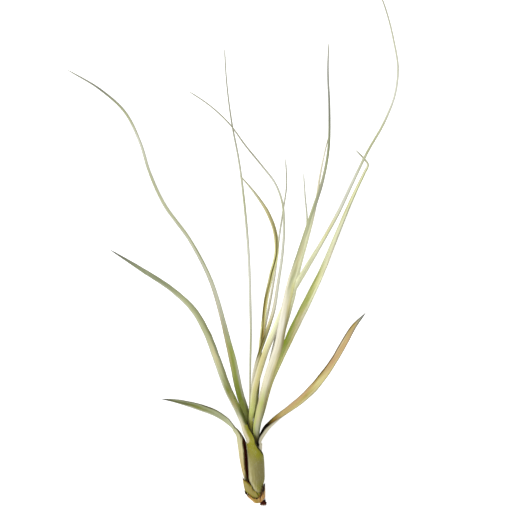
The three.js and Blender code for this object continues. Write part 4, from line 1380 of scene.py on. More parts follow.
def brown_gold_leaf() -> Leaf:
    """The gold-brown leaf of the heart, which bends back over to the left.

    Returns:
        The leaf.
    """
    finish = LeafFinish(
        slot="leaf_gold",
        back=even_coat((0, Tint.OLIVE), (151, Tint.OLIVE)),
        # Painted shade: bark at the root, the shade of the rosette's heart. The bronze stripes down
        # the middle and the right edge are partly the leaf's own gold-brown and partly painted shade
        # at the bottom of its channel.
        face=Coat(
            left=((0, Tint.BARK), (6, Tint.BARK), (12, Tint.LIME), (32, Tint.STRAW),
                  (44, Tint.STRAW), (58, Tint.LEMON), (65, Tint.BRONZE), (75, Tint.BRONZE),
                  (84, Tint.CREAM), (96, Tint.LEMON), (112, Tint.STRAW), (128, Tint.CREAM),
                  (144, Tint.PALE_SILVER), (151, Tint.STONE)),
            middle=((0, Tint.BARK), (8, Tint.UMBER), (16, Tint.LIME), (28, Tint.GOLD),
                    (42, Tint.KHAKI), (56, Tint.BRONZE), (70, Tint.GOLD), (82, Tint.OLIVE),
                    (90, Tint.BRONZE), (98, Tint.BRONZE), (112, Tint.DULL_OLIVE),
                    (128, Tint.CREAM), (144, Tint.PALE_SILVER), (151, Tint.STONE)),
            right=((0, Tint.BARK), (14, Tint.BARK), (24, Tint.BRONZE), (46, Tint.BRONZE),
                   (56, Tint.OCHRE), (66, Tint.LEMON), (80, Tint.CREAM), (96, Tint.LEMON),
                   (112, Tint.DULL_OLIVE), (128, Tint.KHAKI), (151, Tint.STONE))),
        scales=0.08, margin=0.3, margin_tint=Tint.LEMON)
    return Leaf("leaf_brown_gold", [
        blade(-3.9, 40.6, 11.1, 1.2, 40, 180),
        blade(-3.6, 46.6, 12.1, 1.3, 40, 180),
        blade(-2.7, 58.1, 13.9, 1.5, 40, 180),
        blade(-1.6, 73.6, 16.0, 1.8, 40, 180),
        blade(-1.0, 85.7, 17.9, 2.0, 42, 180),
        blade(0.5, 99.4, 20.4, 2.2, 44, 180),
        blade(2.4, 114.8, 23.4, 2.3, 44, 180),
        blade(5.1, 127.4, 26.5, 2.4, 44, 180),
        blade(8.0, 140.4, 29.5, 2.3, 44, 180),
        blade(7.2, 150.7, 32.0, 2.2, 44, 180),
        blade(3.3, 161.4, 34.5, 2.0, 44, 180),
        blade(-2.2, 170.0, 36.5, 1.5, 42, 180),
        blade(-11.9, 181.8, 39.0, FINEST_WIDTH, 35, 180),
    ], finish, across=12, seed=81)


def thin_straight_leaf() -> Leaf:
    """The thin straight leaf of the heart.

    Returns:
        The leaf.
    """
    finish = LeafFinish(
        slot="leaf_sage",
        back=even_coat((0, Tint.SAGE), (213, Tint.ASH)),
        # Painted shade: the face is bark-dark at the root, the shade of the rosette's heart.
        face=even_coat((0, Tint.BARK), (5, Tint.BARK), (10, Tint.CREAM), (18, Tint.IVORY),
                       (30, Tint.PALE_SILVER), (48, Tint.SILVER), (64, Tint.PALE_SILVER),
                       (80, Tint.FROST), (96, Tint.FROST), (112, Tint.PALE_SILVER),
                       (128, Tint.SILVER), (144, Tint.PALE_SILVER), (170, Tint.STONE),
                       (213, Tint.STONE)),
        margin=0.2, margin_tint=Tint.GREY_OLIVE)
    return Leaf("leaf_thin_straight", [
        blade(-6.5, 40.6, 10.0, 1.0, 40, 180),
        blade(-6.7, 47.6, 10.6, 1.1, 40, 180),
        blade(-6.7, 61.0, 12.6, 1.1, 40, 180),
        blade(-6.5, 77.5, 14.6, 1.1, 40, 180),
        blade(-6.2, 94.1, 16.4, 1.2, 42, 180),
        blade(-6.5, 113.3, 18.4, 1.4, 44, 180),
        blade(-7.2, 135.3, 20.4, 1.4, 44, 180),
        blade(-9.3, 162.8, 22.6, 1.3, 42, 180),
        blade(-12.7, 190.2, 24.5, 1.1, 40, 180),
        blade(-16.8, 212.1, 26.0, 0.9, 38, 180),
        blade(-19.5, 234.0, 27.5, 0.7, 36, 180),
        blade(-20.6, 251.5, 29.0, FINEST_WIDTH, 35, 180),
    ], finish, across=10, seed=91)


def thin_arc_leaf() -> Leaf:
    """The thin leaf of the heart that arcs over to the left.

    Returns:
        The leaf.
    """
    finish = LeafFinish(
        slot="leaf_lime",
        back=even_coat((0, Tint.STRAW), (211, Tint.STONE)),
        # Painted shade: the face is bark-dark at the root, the shade of the rosette's heart.
        face=Coat(
            left=((0, Tint.BARK), (10, Tint.DULL_OLIVE), (16, Tint.LIME), (28, Tint.MILK),
                  (38, Tint.IVORY), (44, Tint.BRONZE), (54, Tint.BRONZE), (61, Tint.STRAW),
                  (66, Tint.IVORY), (80, Tint.IVORY), (96, Tint.FROST), (112, Tint.FROST),
                  (128, Tint.SILVER), (144, Tint.FROST), (160, Tint.STONE), (211, Tint.STONE)),
            middle=((0, Tint.BARK), (16, Tint.LIME), (30, Tint.IVORY), (40, Tint.IVORY),
                    (45, Tint.OLIVE), (54, Tint.DULL_OLIVE), (62, Tint.STRAW), (72, Tint.MILK),
                    (96, Tint.FROST), (112, Tint.FROST), (128, Tint.SILVER), (144, Tint.FROST),
                    (160, Tint.STONE), (211, Tint.STONE)),
            right=((0, Tint.BARK), (16, Tint.LIME), (32, Tint.IVORY), (42, Tint.STRAW),
                   (47, Tint.DULL_OLIVE), (56, Tint.OLIVE_SAGE), (64, Tint.KHAKI),
                   (76, Tint.FROST), (112, Tint.PALE_SILVER), (144, Tint.FROST), (160, Tint.STONE),
                   (211, Tint.STONE))),
        margin=0.3, margin_tint=Tint.DULL_OLIVE, dots=0.3)
    return Leaf("leaf_thin_arc", [
        blade(-5.5, 40.6, 10.8, 1.1, 40, 180),
        blade(-5.5, 47.6, 11.35, 1.2, 40, 180),
        blade(-5.5, 58.1, 14.0, 1.6, 40, 180),
        blade(-4.2, 73.6, 16.6, 1.9, 40, 180),
        blade(-0.9, 85.7, 19.7, 2.0, 42, 180),
        blade(2.9, 96.7, 22.2, 2.1, 42, 180),
        blade(6.3, 107.8, 24.6, 2.0, 42, 180),
        blade(9.0, 124.2, 28.0, 1.7, 42, 180),
        blade(11.0, 137.8, 30.6, 1.5, 42, 180),
        blade(12.0, 154.2, 33.2, 1.3, 42, 180),
        blade(10.9, 167.9, 35.5, 1.2, 42, 180),
        blade(7.1, 177.7, 37.5, 1.1, 42, 180),
        blade(0.3, 186.7, 39.0, 1.0, 40, 180),
        blade(-8.7, 197.7, 40.0, 0.9, 40, 180),
        blade(-18.2, 210.4, 41.0, 0.8, 38, 180),
        blade(-29.7, 220.8, 42.0, 0.7, 36, 180),
        blade(-39.4, 227.3, 42.5, FINEST_WIDTH, 35, 180),
    ], finish, across=12, seed=101)


def grey_tip_leaf() -> Leaf:
    """The thin grey-tipped leaf between the arc and the front leaf.

    Returns:
        The leaf.
    """
    finish = LeafFinish(
        slot="leaf_grey",
        back=even_coat((0, Tint.SAGE), (154, Tint.ASH)),
        # Painted shade: bark at the root, the shade of the rosette's heart. The milk stops from 64 to
        # 96 mm are partly the leaf's own pale colour and partly painted light that offsets the shade
        # of the leaves above it.
        face=even_coat((0, Tint.BARK), (7, Tint.MOSS), (13, Tint.VIVID_GREEN), (20, Tint.OLIVE),
                       (32, Tint.STRAW), (48, Tint.KHAKI), (58, Tint.IVORY), (64, Tint.MILK),
                       (84, Tint.MILK), (96, Tint.MILK), (112, Tint.FROST),
                       (128, Tint.PALE_SILVER), (154, Tint.STONE)),
        margin=0.15, margin_tint=Tint.DULL_OLIVE)
    return Leaf("leaf_grey_tip", [
        blade(-4.6, 40.6, 10.0, 1.0, 40, 180),
        blade(-3.6, 58.1, 12.2, 1.2, 40, 180),
        blade(-1.6, 79.1, 14.6, 1.3, 40, 180),
        blade(1.3, 96.8, 17.0, 1.4, 40, 180),
        blade(4.2, 111.6, 19.2, 1.4, 40, 180),
        blade(7.1, 128.6, 21.8, 1.3, 40, 180),
        blade(9.5, 149.0, 25.0, 1.1, 40, 180),
        blade(11.6, 163.2, 27.5, 0.9, 40, 180),
        blade(13.4, 176.3, 30.0, 0.8, 38, 180),
        blade(12.9, 191.1, 33.0, FINEST_WIDTH, 35, 180),
    ], finish, across=10, seed=111)


def grey_tip_right_leaf() -> Leaf:
    """The thin grey-tipped leaf close to the front leaf.

    Returns:
        The leaf.
    """
    finish = LeafFinish(
        slot="leaf_grey",
        back=even_coat((0, Tint.SAGE), (149, Tint.ASH)),
        # Painted shade: the face is bark-dark at the root, the shade of the rosette's heart.
        face=even_coat((0, Tint.BARK), (9, Tint.DULL_OLIVE), (16, Tint.STRAW), (32, Tint.IVORY),
                       (48, Tint.MILK), (64, Tint.IVORY), (80, Tint.IVORY), (96, Tint.LIME),
                       (112, Tint.LIME), (128, Tint.PALE_SILVER), (149, Tint.FROST)),
        margin=0.2, margin_tint=Tint.GREY_OLIVE)
    return Leaf("leaf_grey_tip_right", [
        blade(-3.0, 40.6, 10.2, 1.1, 40, 180),
        blade(-1.5, 52.0, 12.6, 1.3, 40, 180),
        blade(1.4, 66.0, 15.6, 1.5, 40, 180),
        blade(4.6, 80.0, 18.8, 1.6, 40, 180),
        blade(8.2, 95.0, 22.4, 1.6, 40, 180),
        blade(12.2, 110.0, 26.2, 1.6, 40, 180),
        blade(17.0, 126.0, 30.0, 1.4, 40, 180),
        blade(21.8, 141.0, 33.4, 1.2, 40, 180),
        blade(24.5, 154.1, 35.8, 1.0, 40, 180),
        blade(23.4, 171.5, 38.2, 0.8, 38, 180),
        blade(22.6, 183.1, 39.6, FINEST_WIDTH, 35, 180),
    ], finish, across=10, seed=121)


def behind_centre_leaf() -> Leaf:
    """The thin pale leaf behind the front leaf.

    Returns:
        The leaf.
    """
    finish = LeafFinish(
        slot="leaf_lime",
        back=even_coat((0, Tint.LIME), (170, Tint.STRAW)),
        # Painted shade: bark at the root, the shade of the rosette's heart. The pale lemon from 74 to
        # 112 mm is partly the leaf's own pale colour and partly painted light that offsets the shade
        # of the leaves above it.
        face=even_coat((0, Tint.BARK), (9, Tint.DULL_OLIVE), (16, Tint.KHAKI), (32, Tint.STRAW),
                       (48, Tint.LIME), (64, Tint.CREAM), (74, Tint.PALE_LEMON),
                       (112, Tint.PALE_LEMON), (128, Tint.IVORY), (144, Tint.IVORY),
                       (158, Tint.MILK), (170, Tint.STONE)),
        margin=0.3, margin_tint=Tint.DULL_OLIVE, dots=0.6)
    return Leaf("leaf_behind_centre", [
        blade(-1.7, 40.8, 9.6, 1.1, 40, 180),
        blade(0.6, 54.0, 11.4, 1.5, 40, 180),
        blade(4.2, 68.0, 13.4, 1.8, 40, 180),
        blade(8.4, 83.0, 16.0, 2.0, 40, 180),
        blade(12.8, 99.0, 19.2, 2.0, 40, 180),
        blade(17.2, 115.0, 22.8, 2.0, 40, 180),
        blade(20.8, 132.4, 26.8, 1.8, 40, 180),
        blade(24.8, 147.0, 30.4, 1.6, 40, 180),
        blade(29.0, 164.0, 34.6, 1.3, 40, 180),
        blade(31.5, 181.0, 38.4, 1.1, 40, 180),
        blade(33.4, 191.2, 40.8, 0.9, 38, 180),
        blade(36.2, 203.0, 43.0, FINEST_WIDTH, 35, 180),
    ], finish, across=12, seed=131)


@dataclass
class Rosette:
    """All the leaves."""

    groups: SharedGroups
    hair: bpy.types.Material

    def build(self) -> None:
        """Builds and dresses each leaf, from the outermost sheath inwards."""
        for make in (left_arch_leaf, lower_left_leaf, right_tan_leaf, left_long_leaf,
                     centre_front_leaf, right_green_leaf, top_right_long_leaf, brown_gold_leaf,
                     thin_straight_leaf, thin_arc_leaf, grey_tip_leaf, grey_tip_right_leaf,
                     behind_centre_leaf):
            make().dress(self.groups, self.hair)


# ---- old leaf bases ----


def smoothed_row(table: list[tuple[float, float]], turns: Array, width: float) -> Array:
    """A table of turn and value, straight between its rows, with its corners rounded.

    Args:
        table: rows of turn in degrees and value, from 0 to 360.
        turns: the turns wanted, evenly spaced over 360 degrees.
        width: degrees that a corner is rounded over.

    Returns:
        The value at each turn: the mean of the straight one over that width.
    """
    column = np.array(table)
    offsets = np.linspace(-width / 2, width / 2, 15)
    spread = (turns[:, None] + offsets) % 360.0
    return np.interp(spread, column[:, 0], column[:, 1]).mean(axis=1)


@dataclass(frozen=True)
class Patch:
    """A patch of colour on an old leaf base.

    It is centred on a turn round the base, in degrees, and gone at spread from there. It lies from
    top to bottom, in millimetres below the rim, and dies out over fade millimetres beyond them.
    It is on the base's outside, unless inside is true.
    """

    tint: Tint
    turn: float
    spread: float
    top: float
    bottom: float
    strength: float = 0.8
    inside: bool = False
    fade: float = 0.5


@dataclass(frozen=True)
class BaseFinish:
    """How an old leaf base is coloured: two body colours in clouds, patches, and an inside tint that
    is painted shade in the bowl's hollow.
    """

    name: str
    dull: Tint
    bright: Tint
    inside: Tint
    patches: tuple[Patch, ...]
    ridges: float

    def material(self) -> bpy.types.Material:
        """Makes the base's material.

        Returns:
            The material.
        """
        board, shader, material = new_material(self.name)
        turn, below, inner = board.parts(board.note("base"))
        skin = board.note("skin")
        fibre = board.grain(skin, 0.35, 4.5, 3.0)
        cloud = board.grain(skin, 0.4, 0.6)
        fray = board.math("SUBTRACT", fibre, 0.5)
        colour = board.blend(board.step(cloud, 0.38, 0.62), self.dull.linear, self.bright.linear)
        colour = board.shade(colour, board.math("ADD", 1.0, board.math("MULTIPLY", fray, 0.7)))
        below = board.math("ADD", below, board.math("MULTIPLY", fray, 1.1))
        # The inside is mostly the inside tint: painted shade in the hollow of the bowl.
        sides = [colour, board.blend(0.85, colour, self.inside.linear)]
        for patch in self.patches:
            away = board.math("ABSOLUTE", board.math("SUBTRACT", turn, patch.turn))
            away = board.math("MINIMUM", away, board.math("SUBTRACT", 360.0, away))
            away = board.math("ADD", away, board.math("MULTIPLY", fray, patch.spread))
            mask = board.math("MULTIPLY", board.step(away, patch.spread, patch.spread * 0.5),
                              board.step(below, patch.top - patch.fade, patch.top))
            end = board.step(below, patch.bottom + patch.fade, patch.bottom)
            mask = board.math("MULTIPLY", mask, end)
            mask = board.math("MULTIPLY", mask, patch.strength, clamp=True)
            sides[patch.inside] = board.blend(mask, sides[patch.inside], patch.tint.linear)
        board.feed(shader.inputs["Base Color"], board.blend(inner, *sides))
        rough = board.math("ADD", 0.5, board.math("MULTIPLY", cloud, 0.25))
        board.feed(shader.inputs["Roughness"], rough)
        shader.inputs["Specular IOR Level"].default_value = 0.07
        add_relief(board, shader, fibre, depth=0.12, strength=self.ridges)
        return material


PAPERY_BASE = BaseFinish(
    # The inside tint, bark, is painted shade in the collar's hollow; the amber patch inside at the
    # front keeps the collar's own colour there.
    name="torn_paper", dull=Tint.AMBER, bright=Tint.PARCHMENT, inside=Tint.BARK, ridges=0.7,
    patches=(
        Patch(Tint.OCHRE, 345, 42, 0.6, 2.6, 0.85),
        Patch(Tint.RUST, 75, 30, 1.5, 7.0, 0.3),
        Patch(Tint.RUST, 26, 7, 0.4, 3.0, 0.5),
        Patch(Tint.UMBER, 345, 52, -1.0, 0.0, 0.6),
        Patch(Tint.AMBER, 345, 60, -1.0, 6.0, 0.9, inside=True),
        Patch(Tint.BARK, 42, 26, -1.0, 0.9, 0.95),
        Patch(Tint.BLACK_BROWN, 274, 40, -1.0, 1.3, 0.95),
        Patch(Tint.BLACK_BROWN, 64, 22, -1.0, 2.6, 0.95),
        Patch(Tint.BLACK_BROWN, 170, 90, -1.0, 0.5, 0.8),
        Patch(Tint.BLACK_BROWN, 274, 40, -1.0, 1.5, 0.95, inside=True),
    ))

OLIVE_BASE = BaseFinish(
    # The inside tint, bark, is painted shade in the cup's hollow; the cream patch inside at the front
    # is the base's own pale inside.
    name="olive_skin", dull=Tint.OLIVE, bright=Tint.OCHRE, inside=Tint.BARK, ridges=0.6,
    patches=(
        Patch(Tint.KHAKI, 312, 26, 1.5, 6.0, 0.6),
        Patch(Tint.KHAKI, 350, 24, 1.0, 5.0, 0.5),
        Patch(Tint.DARK_GREEN, 20, 10, 0.3, 2.0, 0.6),
        Patch(Tint.UMBER, 283, 60, -1.0, 0.4, 0.9),
        Patch(Tint.BARK, 270, 14, -1.0, 1.4, 0.95),
        Patch(Tint.UMBER, 180, 70, -1.0, 0.5, 0.7),
        Patch(Tint.CREAM, 15, 70, -1.0, 6.0, 0.95, inside=True),
    ))


@dataclass(frozen=True)
class Clump:
    """A clump of torn fibres on a rim.

    It is centred on a turn and reaches spread to each side of it, both in degrees. Longest and
    widest are the length and the width of its largest fibre, in millimetres.
    """

    turn: float
    spread: float
    count: int
    longest: float
    widest: float


@dataclass
class OldBase:
    """An old leaf base round the foot: an open bowl of oval sections.

    At a turn a round it and a distance y along the plant, its outside is
        (x + wide sin a, y, z + high cos a),
    where x, z, wide and high follow the levels, and a turn is 0 up, 90 right and 180 down. Its
    foot and its rim rise and fall. Tear is the height of the rim's ragged waves, and crease the
    depth of the folds that grow towards it. At the rim the wall is also tucked in by so many
    millimetres at each turn. Lengths of waves and roundings of corners are in degrees, and
    girth_radius turns degrees into millimetres round the base.
    """

    name: str
    slot: str
    finish: BaseFinish
    levels: list[tuple[float, float, float, float, float]]
    foot: list[tuple[float, float]]
    rim: list[tuple[float, float]]
    tuck: list[tuple[float, float]]
    clumps: tuple[Clump, ...] = ()
    wall: float = 0.5
    rim_wall: float = 0.2
    rounding: float = 14.0
    rim_rounding: float = 6.0
    tear: float = 0.35
    tear_length: float = 17.0
    fine_tear: float = 0.3
    fine_tear_length: float = 5.0
    crease: float = 0.08
    crease_length: float = 21.0
    girth_radius: float = 5.2
    around: int = 220
    rise: int = 34
    seed: int = 5
    torn: Array = field(init=False)

    def build(self) -> bpy.types.Object:
        """Makes the base's mesh.

        Returns:
            The piece. Its note "base" is the turn in degrees, millimetres below the rim and 1 on
            the inside; its note "skin" is millimetres along and round it, and the side.
        """
        turns = np.arange(self.around) * 360.0 / self.around
        bottom = smoothed_row(self.foot, turns, self.rounding)
        top = smoothed_row(self.rim, turns, self.rim_rounding)
        fine = self.fine_tear * self.tear * ripple(turns, self.fine_tear_length, self.seed + 1)
        top += self.tear * ripple(turns, self.tear_length, self.seed) + fine
        climb = np.linspace(0.0, 1.0, self.rise + 1)
        y = bottom[:, None] + (top - bottom)[:, None] * climb
        column = np.array(self.levels)
        x, z, wide, high = (np.interp(y, column[:, 0], column[:, i]) for i in range(1, 5))
        angle = np.radians(turns)[:, None]
        folds = ripple(turns, self.crease_length, self.seed + 2)
        crease = self.crease * folds[:, None] * climb
        thick = self.wall + (self.rim_wall - self.wall) * climb**2
        tuck = smoothed_row(self.tuck, turns, self.rounding)[:, None] * climb**2

        def skin_at(inset: Array | float) -> Array:
            """One of the wall's surfaces.

            Args:
                inset: how far it lies inside the outside.

            Returns:
                Its points: a row for each turn, from the foot to the rim.
            """
            reach_x = wide + crease - tuck - inset
            reach_z = high + crease - tuck - inset
            height = np.maximum(z + reach_z * np.cos(angle), inset)
            return np.stack([x + reach_x * np.sin(angle), y, height], axis=-1)

        outside = skin_at(0.0)
        self.torn = np.concatenate([outside[:, -1], turns[:, None]], axis=1)
        rings = np.concatenate([outside, skin_at(thick)[:, ::-1]], axis=1)
        quads = wrapped_quads(self.around, rings.shape[1], loop=True)
        below = top[:, None] - y
        below = np.concatenate([below, below[:, ::-1]], axis=1)
        inner = np.concatenate([np.zeros(self.rise + 1), np.ones(self.rise + 1)])[None]
        base = np.stack(np.broadcast_arrays(turns[:, None], below, inner), axis=-1)
        girth = turns[:, None] * np.pi / 180.0 * self.girth_radius
        shift = inner * SIDE_SHIFT + self.seed
        skin = np.stack(np.broadcast_arrays(rings[..., 1], girth, shift), axis=-1)
        notes = {"base": base.reshape(-1, 3), "skin": skin.reshape(-1, 3)}
        return mesh_piece(f"{self.name}_shell", rings.reshape(-1, 3), quads, notes)

    def fibres(self) -> bpy.types.Object:
        """Makes the torn fibres that stand up from the rim. The base is built first.

        Returns:
            The piece, with the base's notes.
        """
        rng = np.random.default_rng(self.seed + FIBRE_SEED)
        rows = np.concatenate([np.tile(astuple(clump), (clump.count, 1)) for clump in self.clumps])
        count = len(rows)
        middle, spread, _, longest, widest = rows.T
        at = (middle + rng.uniform(-1, 1, count) * spread) % 360.0
        pick = np.rint(at / 360.0 * len(self.torn)).astype(int) % len(self.torn)
        rim = self.torn[pick, :3]
        turn = np.radians(self.torn[pick, 3])
        out = np.stack([np.sin(turn), np.zeros(count), np.cos(turn)], axis=-1)
        lean = rng.uniform(-0.1, 0.35, count)[:, None] * out
        lean[:, 0] += rng.uniform(-0.3, 0.3, count)
        lean[:, 1] += 1.0
        reach = (rng.uniform(0.3, 1.0, count) * longest)[:, None]
        base = np.stack([self.torn[pick, 3], np.full(count, 0.1), np.zeros(count)], axis=-1)
        roots = rim - [0.0, 0.3, 0.0] - 0.08 * out
        width = rng.uniform(0.5, 1.0, count) * widest
        return spikes(f"{self.name}_fibres", roots, rim + reach * unit(lean), width,
                      {"base": base, "skin": rim})

    def dress(self) -> None:
        """Builds the base and its torn fibres, if it has any, and hands them over."""
        material = self.finish.material()
        hand_over(self.build(), material, self.name)
        if self.clumps:
            hand_over(self.fibres(), material)


def olive_cup() -> OldBase:
    """The olive cup, with its ear at the left.

    Returns:
        The base.
    """
    return OldBase(
        "olive_cup", "olive_base", OLIVE_BASE,
        levels=[
            (2.6, -2.6, 5.0, 2.6, 2.6),
            (4.1, -3.1, 5.1, 3.8, 4.1),
            (7.4, -4.5, 5.3, 5.1, 5.25),
            (10.1, -4.6, 5.6, 5.6, 5.6),
            (14.6, -4.9, 6.2, 5.95, 5.9),
        ],
        foot=[(0, 3.2), (90, 3.6), (180, 3.2), (270, 3.0), (360, 3.2)],
        rim=[(0, 7.3), (30, 6.2), (60, 5.5), (90, 5.6), (130, 7.6), (180, 10.5), (225, 12.2),
             (255, 14.0), (270, 14.9), (304, 13.4), (322, 11.7), (338, 9.9), (350, 8.2),
             (360, 7.3)],
        tuck=[(0, 1.5), (20, 1.1), (40, 0.5), (60, 0), (300, 0), (318, 1.1), (333, 2.1), (345, 2.0),
              (360, 1.5)],
        tear=0.15, seed=7)


def foot_collar() -> OldBase:
    """The papery collar, with a low left tip and a tall ear at the right.

    Returns:
        The base.
    """
    return OldBase(
        "foot_collar", "papery_base", PAPERY_BASE,
        levels=[
            (0.2, -2.4, 4.8, 2.0, 2.6),
            (1.2, -2.2, 4.8, 3.0, 3.7),
            (2.4, -2.6, 4.9, 4.0, 4.6),
            (3.5, -3.0, 4.95, 4.85, 4.95),
            (5.7, -3.7, 5.2, 5.55, 5.4),
            (10.8, -4.3, 5.8, 5.95, 5.9),
        ],
        foot=[(0, 0.3), (30, 0.4), (60, 2.2), (90, 3.6), (135, 2.4), (180, 1.2), (270, 0.6),
              (330, 0.2), (360, 0.3)],
        rim=[(0, 3.0), (17, 3.3), (38, 5.7), (48, 7.6), (62, 9.5), (72, 10.8), (90, 9.6),
             (110, 7.4), (150, 4.6), (190, 3.8), (240, 4.6), (264, 5.8), (278, 6.5), (304, 5.0),
             (320, 4.2), (331, 3.1), (345, 2.8), (360, 3.0)],
        tuck=[(0, 0.15), (40, 0.1), (60, 0), (290, 0), (320, 0.15), (360, 0.15)],
        clumps=(Clump(180, 180, 40, 0.6, 0.22), Clump(272, 9, 22, 1.0, 1.2),
                Clump(69, 6, 20, 1.1, 1.1)),
        rim_wall=0.7, tear=0.3, seed=17)


# ---- stem ----


@dataclass
class Stem:
    """The woody stem with its broken foot.

    A ring square to the plant's length lies round the axis, at radius (1 + roughness) from it.
    The roughness is noise round the stem and along it, which dies down by a factor of e over calm
    millimetres from the foot. The first and the last ring are closed across.
    """

    radii: list[tuple[float, float]]
    around: int = 64
    spacing: float = 0.12
    roughness: float = 0.09
    calm: float = 6.0
    seed: int = 3

    def build(self) -> bpy.types.Object:
        """Makes the stem's mesh.

        Returns:
            The piece. Its note "skin" is millimetres along and round it, and the distance from
            the axis as a share of the radius.
        """
        column = np.array(self.radii)
        y = np.arange(column[0, 0], column[-1, 0], self.spacing)
        radius = np.interp(y, column[:, 0], column[:, 1])
        turn = np.arange(self.around) * 2 * np.pi / self.around
        grain = ripple(turn[None, :] * 4.0 + 0.0 * y[:, None], 3.1, self.seed)
        lumps = ripple(y[:, None] * 1.3 + 2.0 * np.sin(turn)[None, :], 1.7, self.seed + 1)
        fading = np.exp(-np.clip(y, 0, None) / self.calm)[:, None]
        ragged = 1 + self.roughness * (grain + lumps) * fading
        x = np.interp(y, STEM_AXIS[:, 1], STEM_AXIS[:, 0])
        z = np.interp(y, STEM_AXIS[:, 1], STEM_AXIS[:, 2])
        reach = radius[:, None] * ragged
        rings = np.stack([x[:, None] + reach * np.sin(turn), y[:, None] + 0 * reach,
                          z[:, None] + reach * np.cos(turn)], axis=-1)
        count = len(y)
        quads = np.concatenate([
            wrapped_quads(count, self.around, loop=False),
            ladder_quads(0, self.around),
            ladder_quads((count - 1) * self.around, self.around)[:, ::-1],
        ])
        skin = np.stack(np.broadcast_arrays(y[:, None], turn[None] * 2.0, 1.0), axis=-1)
        return mesh_piece("stem_wood", rings.reshape(-1, 3), quads, {"skin": skin.reshape(-1, 3)})

    def dress(self) -> None:
        """Builds the stem and the splinters of its foot and hands them over."""
        bark = stem_material()
        hand_over(self.build(), bark, "stem")
        hand_over(Splinters().build(), bark)


@dataclass
class Splinters:
    """The splinters of the broken foot: most stand up beside the collar, the others hang.

    A root lies at root_x, root_y and root_z, or at low_root_y if its splinter hangs. The tip is
    drift_x, a rise and drift_z from there, where the rise is stand or hang. All are millimetres,
    each from its smallest to its largest, and standing is the share that stands.
    """

    count: int = 34
    standing: float = 0.7
    root_x: tuple[float, float] = (0.1, 2.0)
    root_y: tuple[float, float] = (0.0, 1.0)
    low_root_y: float = -0.3
    root_z: tuple[float, float] = (4.2, 5.9)
    stand: tuple[float, float] = (1.6, 3.4)
    hang: tuple[float, float] = (-1.1, -0.6)
    drift_x: tuple[float, float] = (-0.3, 0.25)
    drift_z: tuple[float, float] = (-0.3, 0.4)
    width: tuple[float, float] = (0.5, 1.0)
    seed: int = 41

    def build(self) -> bpy.types.Object:
        """Makes the splinters' mesh.

        Returns:
            The piece, with the stem's note.
        """
        rng = np.random.default_rng(self.seed)
        up = rng.uniform(0, 1, self.count) < self.standing
        x = rng.uniform(*self.root_x, self.count)
        y = np.where(up, rng.uniform(*self.root_y, self.count), self.low_root_y)
        z = rng.uniform(*self.root_z, self.count)
        roots = np.stack([x, y, z], axis=-1)
        stand = rng.uniform(*self.stand, self.count)
        rise = np.where(up, stand, rng.uniform(*self.hang, self.count))
        drift_x = rng.uniform(*self.drift_x, self.count)
        drift_z = rng.uniform(*self.drift_z, self.count)
        tips = roots + np.stack([drift_x, rise, drift_z], axis=-1)
        skin = np.stack([y, x * 4.0, np.ones(self.count)], axis=-1)
        width = rng.uniform(*self.width, self.count)
        return spikes("stem_splinters", roots, tips, width, {"skin": skin})


def stem_material() -> bpy.types.Material:
    """Dark mahogany bark in strands, with pale torn pith at the broken end.

    Returns:
        The material.
    """
    board, shader, material = new_material("stem_bark")
    skin = board.note("skin")
    along, _, _ = board.parts(skin)
    strand = board.grain(skin, 0.8, 3.0, 3.0)
    colour = board.blend(board.step(strand, 0.35, 0.7), Tint.BARK.linear, Tint.MAHOGANY.linear)
    pith = board.math("MULTIPLY", board.step(along, -0.3, -0.9), board.step(strand, 0.4, 0.52))
    colour = board.blend(pith, colour, Tint.PITH.linear)
    board.feed(shader.inputs["Base Color"], colour)
    rough = board.math("ADD", 0.6, board.math("MULTIPLY", strand, 0.3))
    board.feed(shader.inputs["Roughness"], rough)
    shader.inputs["Specular IOR Level"].default_value = 0.12
    add_relief(board, shader, strand, depth=0.2, strength=0.8)
    return material


def plant_stem() -> Stem:
    """The stem, from its broken foot to the heart.

    Returns:
        The stem.
    """
    return Stem([
        (-1.2, 1.3),
        (-0.6, 1.8),
        (0.6, 1.9),
        (2.0, 1.4),
        (4.0, 1.2),
        (8.0, 1.7),
        (14.0, 2.1),
        (27.0, 2.1),
        (33.5, 1.6),
        (38.2, 1.2),
        (39.6, 0.7),
    ])


# ---- studio ----


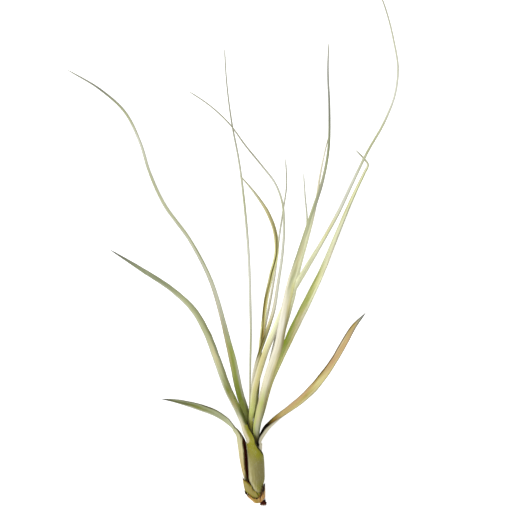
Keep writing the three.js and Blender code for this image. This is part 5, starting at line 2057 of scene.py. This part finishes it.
@dataclass
class Studio:
    """The white table, the soft light from the left and the camera above.

    The photograph's frame is 512 pixels wide. At picture_plane above the table a pixel is
    pixel_size wide, and the foot's lowest point lies at foot_pixel. The table lies table_drop
    below the plant. These lengths are millimetres. The table's side, the lamp's side and its place
    from the plant's middle are metres. Glow is how strongly the table shines by itself as the
    camera sees it, and backdrop_strength that of the white light from all round.
    """

    pixels: int = 512
    pixel_size: float = 0.554
    picture_plane: float = 15.0
    foot_pixel: tuple[float, float] = (262.0, 505.0)
    lens: float = 200.0
    sensor: float = 36.0
    table_size: float = 12.0
    table_drop: float = 0.05
    glow: float = 0.72
    backdrop_strength: float = 0.64
    lamp_place: tuple[float, float, float] = (-1.35, 0.15, 1.4)
    lamp_size: float = 1.2
    lamp_watts: float = 18.5

    def camera(self) -> None:
        """Sets the camera over the plant, looking straight down with the leaf tips up."""
        distance = self.pixels * self.pixel_size * self.lens / self.sensor
        half = self.pixels / 2
        x = (half - self.foot_pixel[0]) * self.pixel_size
        y = (self.foot_pixel[1] - half) * self.pixel_size
        place = np.array([x, y, self.picture_plane + distance]) - MIDDLE
        data = bpy.data.cameras.new("camera")
        data.lens = self.lens
        data.sensor_width = self.sensor
        data.clip_start = 0.05
        data.clip_end = 50.0
        camera = bpy.data.objects.new("camera", data)
        camera.location = (place * MM).tolist()
        bpy.context.scene.collection.objects.link(camera)
        bpy.context.scene.camera = camera

    def table(self) -> None:
        """Lays the plain white table top, a little self-lit as a light table is."""
        half = self.table_size / 2
        mesh = bpy.data.meshes.new("table_top")
        mesh.from_pydata([(-half, -half, 0), (half, -half, 0), (half, half, 0), (-half, half, 0)],
                         [], [(0, 1, 2, 3)])
        top = bpy.data.objects.new("table_top", mesh)
        top.location.z = -self.table_drop * MM
        board, shader, material = new_material("table_white")
        grain = board.noise(board.add("ShaderNodeTexCoord").outputs["Object"], 3.0)
        white = board.blend(grain, (0.76, 0.76, 0.76, 1.0), (0.79, 0.79, 0.79, 1.0))
        board.feed(shader.inputs["Base Color"], white)
        shader.inputs["Roughness"].default_value = 0.7
        shader.inputs["Specular IOR Level"].default_value = 0.1
        seen = board.add("ShaderNodeLightPath").outputs["Is Camera Ray"]
        shader.inputs["Emission Color"].default_value = (1.0, 1.0, 1.0, 1.0)
        board.feed(shader.inputs["Emission Strength"], board.math("MULTIPLY", seen, self.glow))
        mesh.materials.append(material)
        bpy.context.scene.collection.objects.link(top)

    def soft_light(self, name: str, place: tuple[float, float, float], size: float,
                   watts: float) -> None:
        """Hangs a square soft light that faces the plant.

        Args:
            name: the light's name.
            place: metres from the plant's middle.
            size: its side in metres.
            watts: its power.
        """
        data = bpy.data.lights.new(name, "AREA")
        data.shape = "SQUARE"
        data.size = size
        data.energy = watts
        lamp = bpy.data.objects.new(name, data)
        lamp.location = place
        aim = -np.array(place) / np.linalg.norm(place)
        lamp.rotation_mode = "QUATERNION"
        lamp.rotation_quaternion = Vector(aim.tolist()).to_track_quat("-Z", "Y")
        lamp.visible_camera = False
        bpy.context.scene.collection.objects.link(lamp)

    def build(self) -> None:
        """Builds the table, the lights and the camera."""
        self.table()
        self.soft_light("window_left", self.lamp_place, self.lamp_size, self.lamp_watts)
        world = bpy.data.worlds.new("studio")
        world.use_nodes = True
        backdrop = world.node_tree.nodes["Background"]
        backdrop.inputs["Color"].default_value = (1.0, 1.0, 1.0, 1.0)
        backdrop.inputs["Strength"].default_value = self.backdrop_strength
        scene = bpy.context.scene
        scene.world = world
        scene.view_settings.view_transform = "Standard"
        self.camera()


# ---- the plant ----


def main() -> None:
    """Builds the studio, the stem, the old bases and the leaves, in that order."""
    logging.basicConfig(level=logging.INFO, format="%(name)s %(message)s")
    Studio().build()
    groups = SharedGroups(coat_group(), wash_group(), skin_group())
    plant_stem().dress()
    foot_collar().dress()
    olive_cup().dress()
    Rosette(groups, hair_material()).build()


if __name__ == "__main__":
    main()
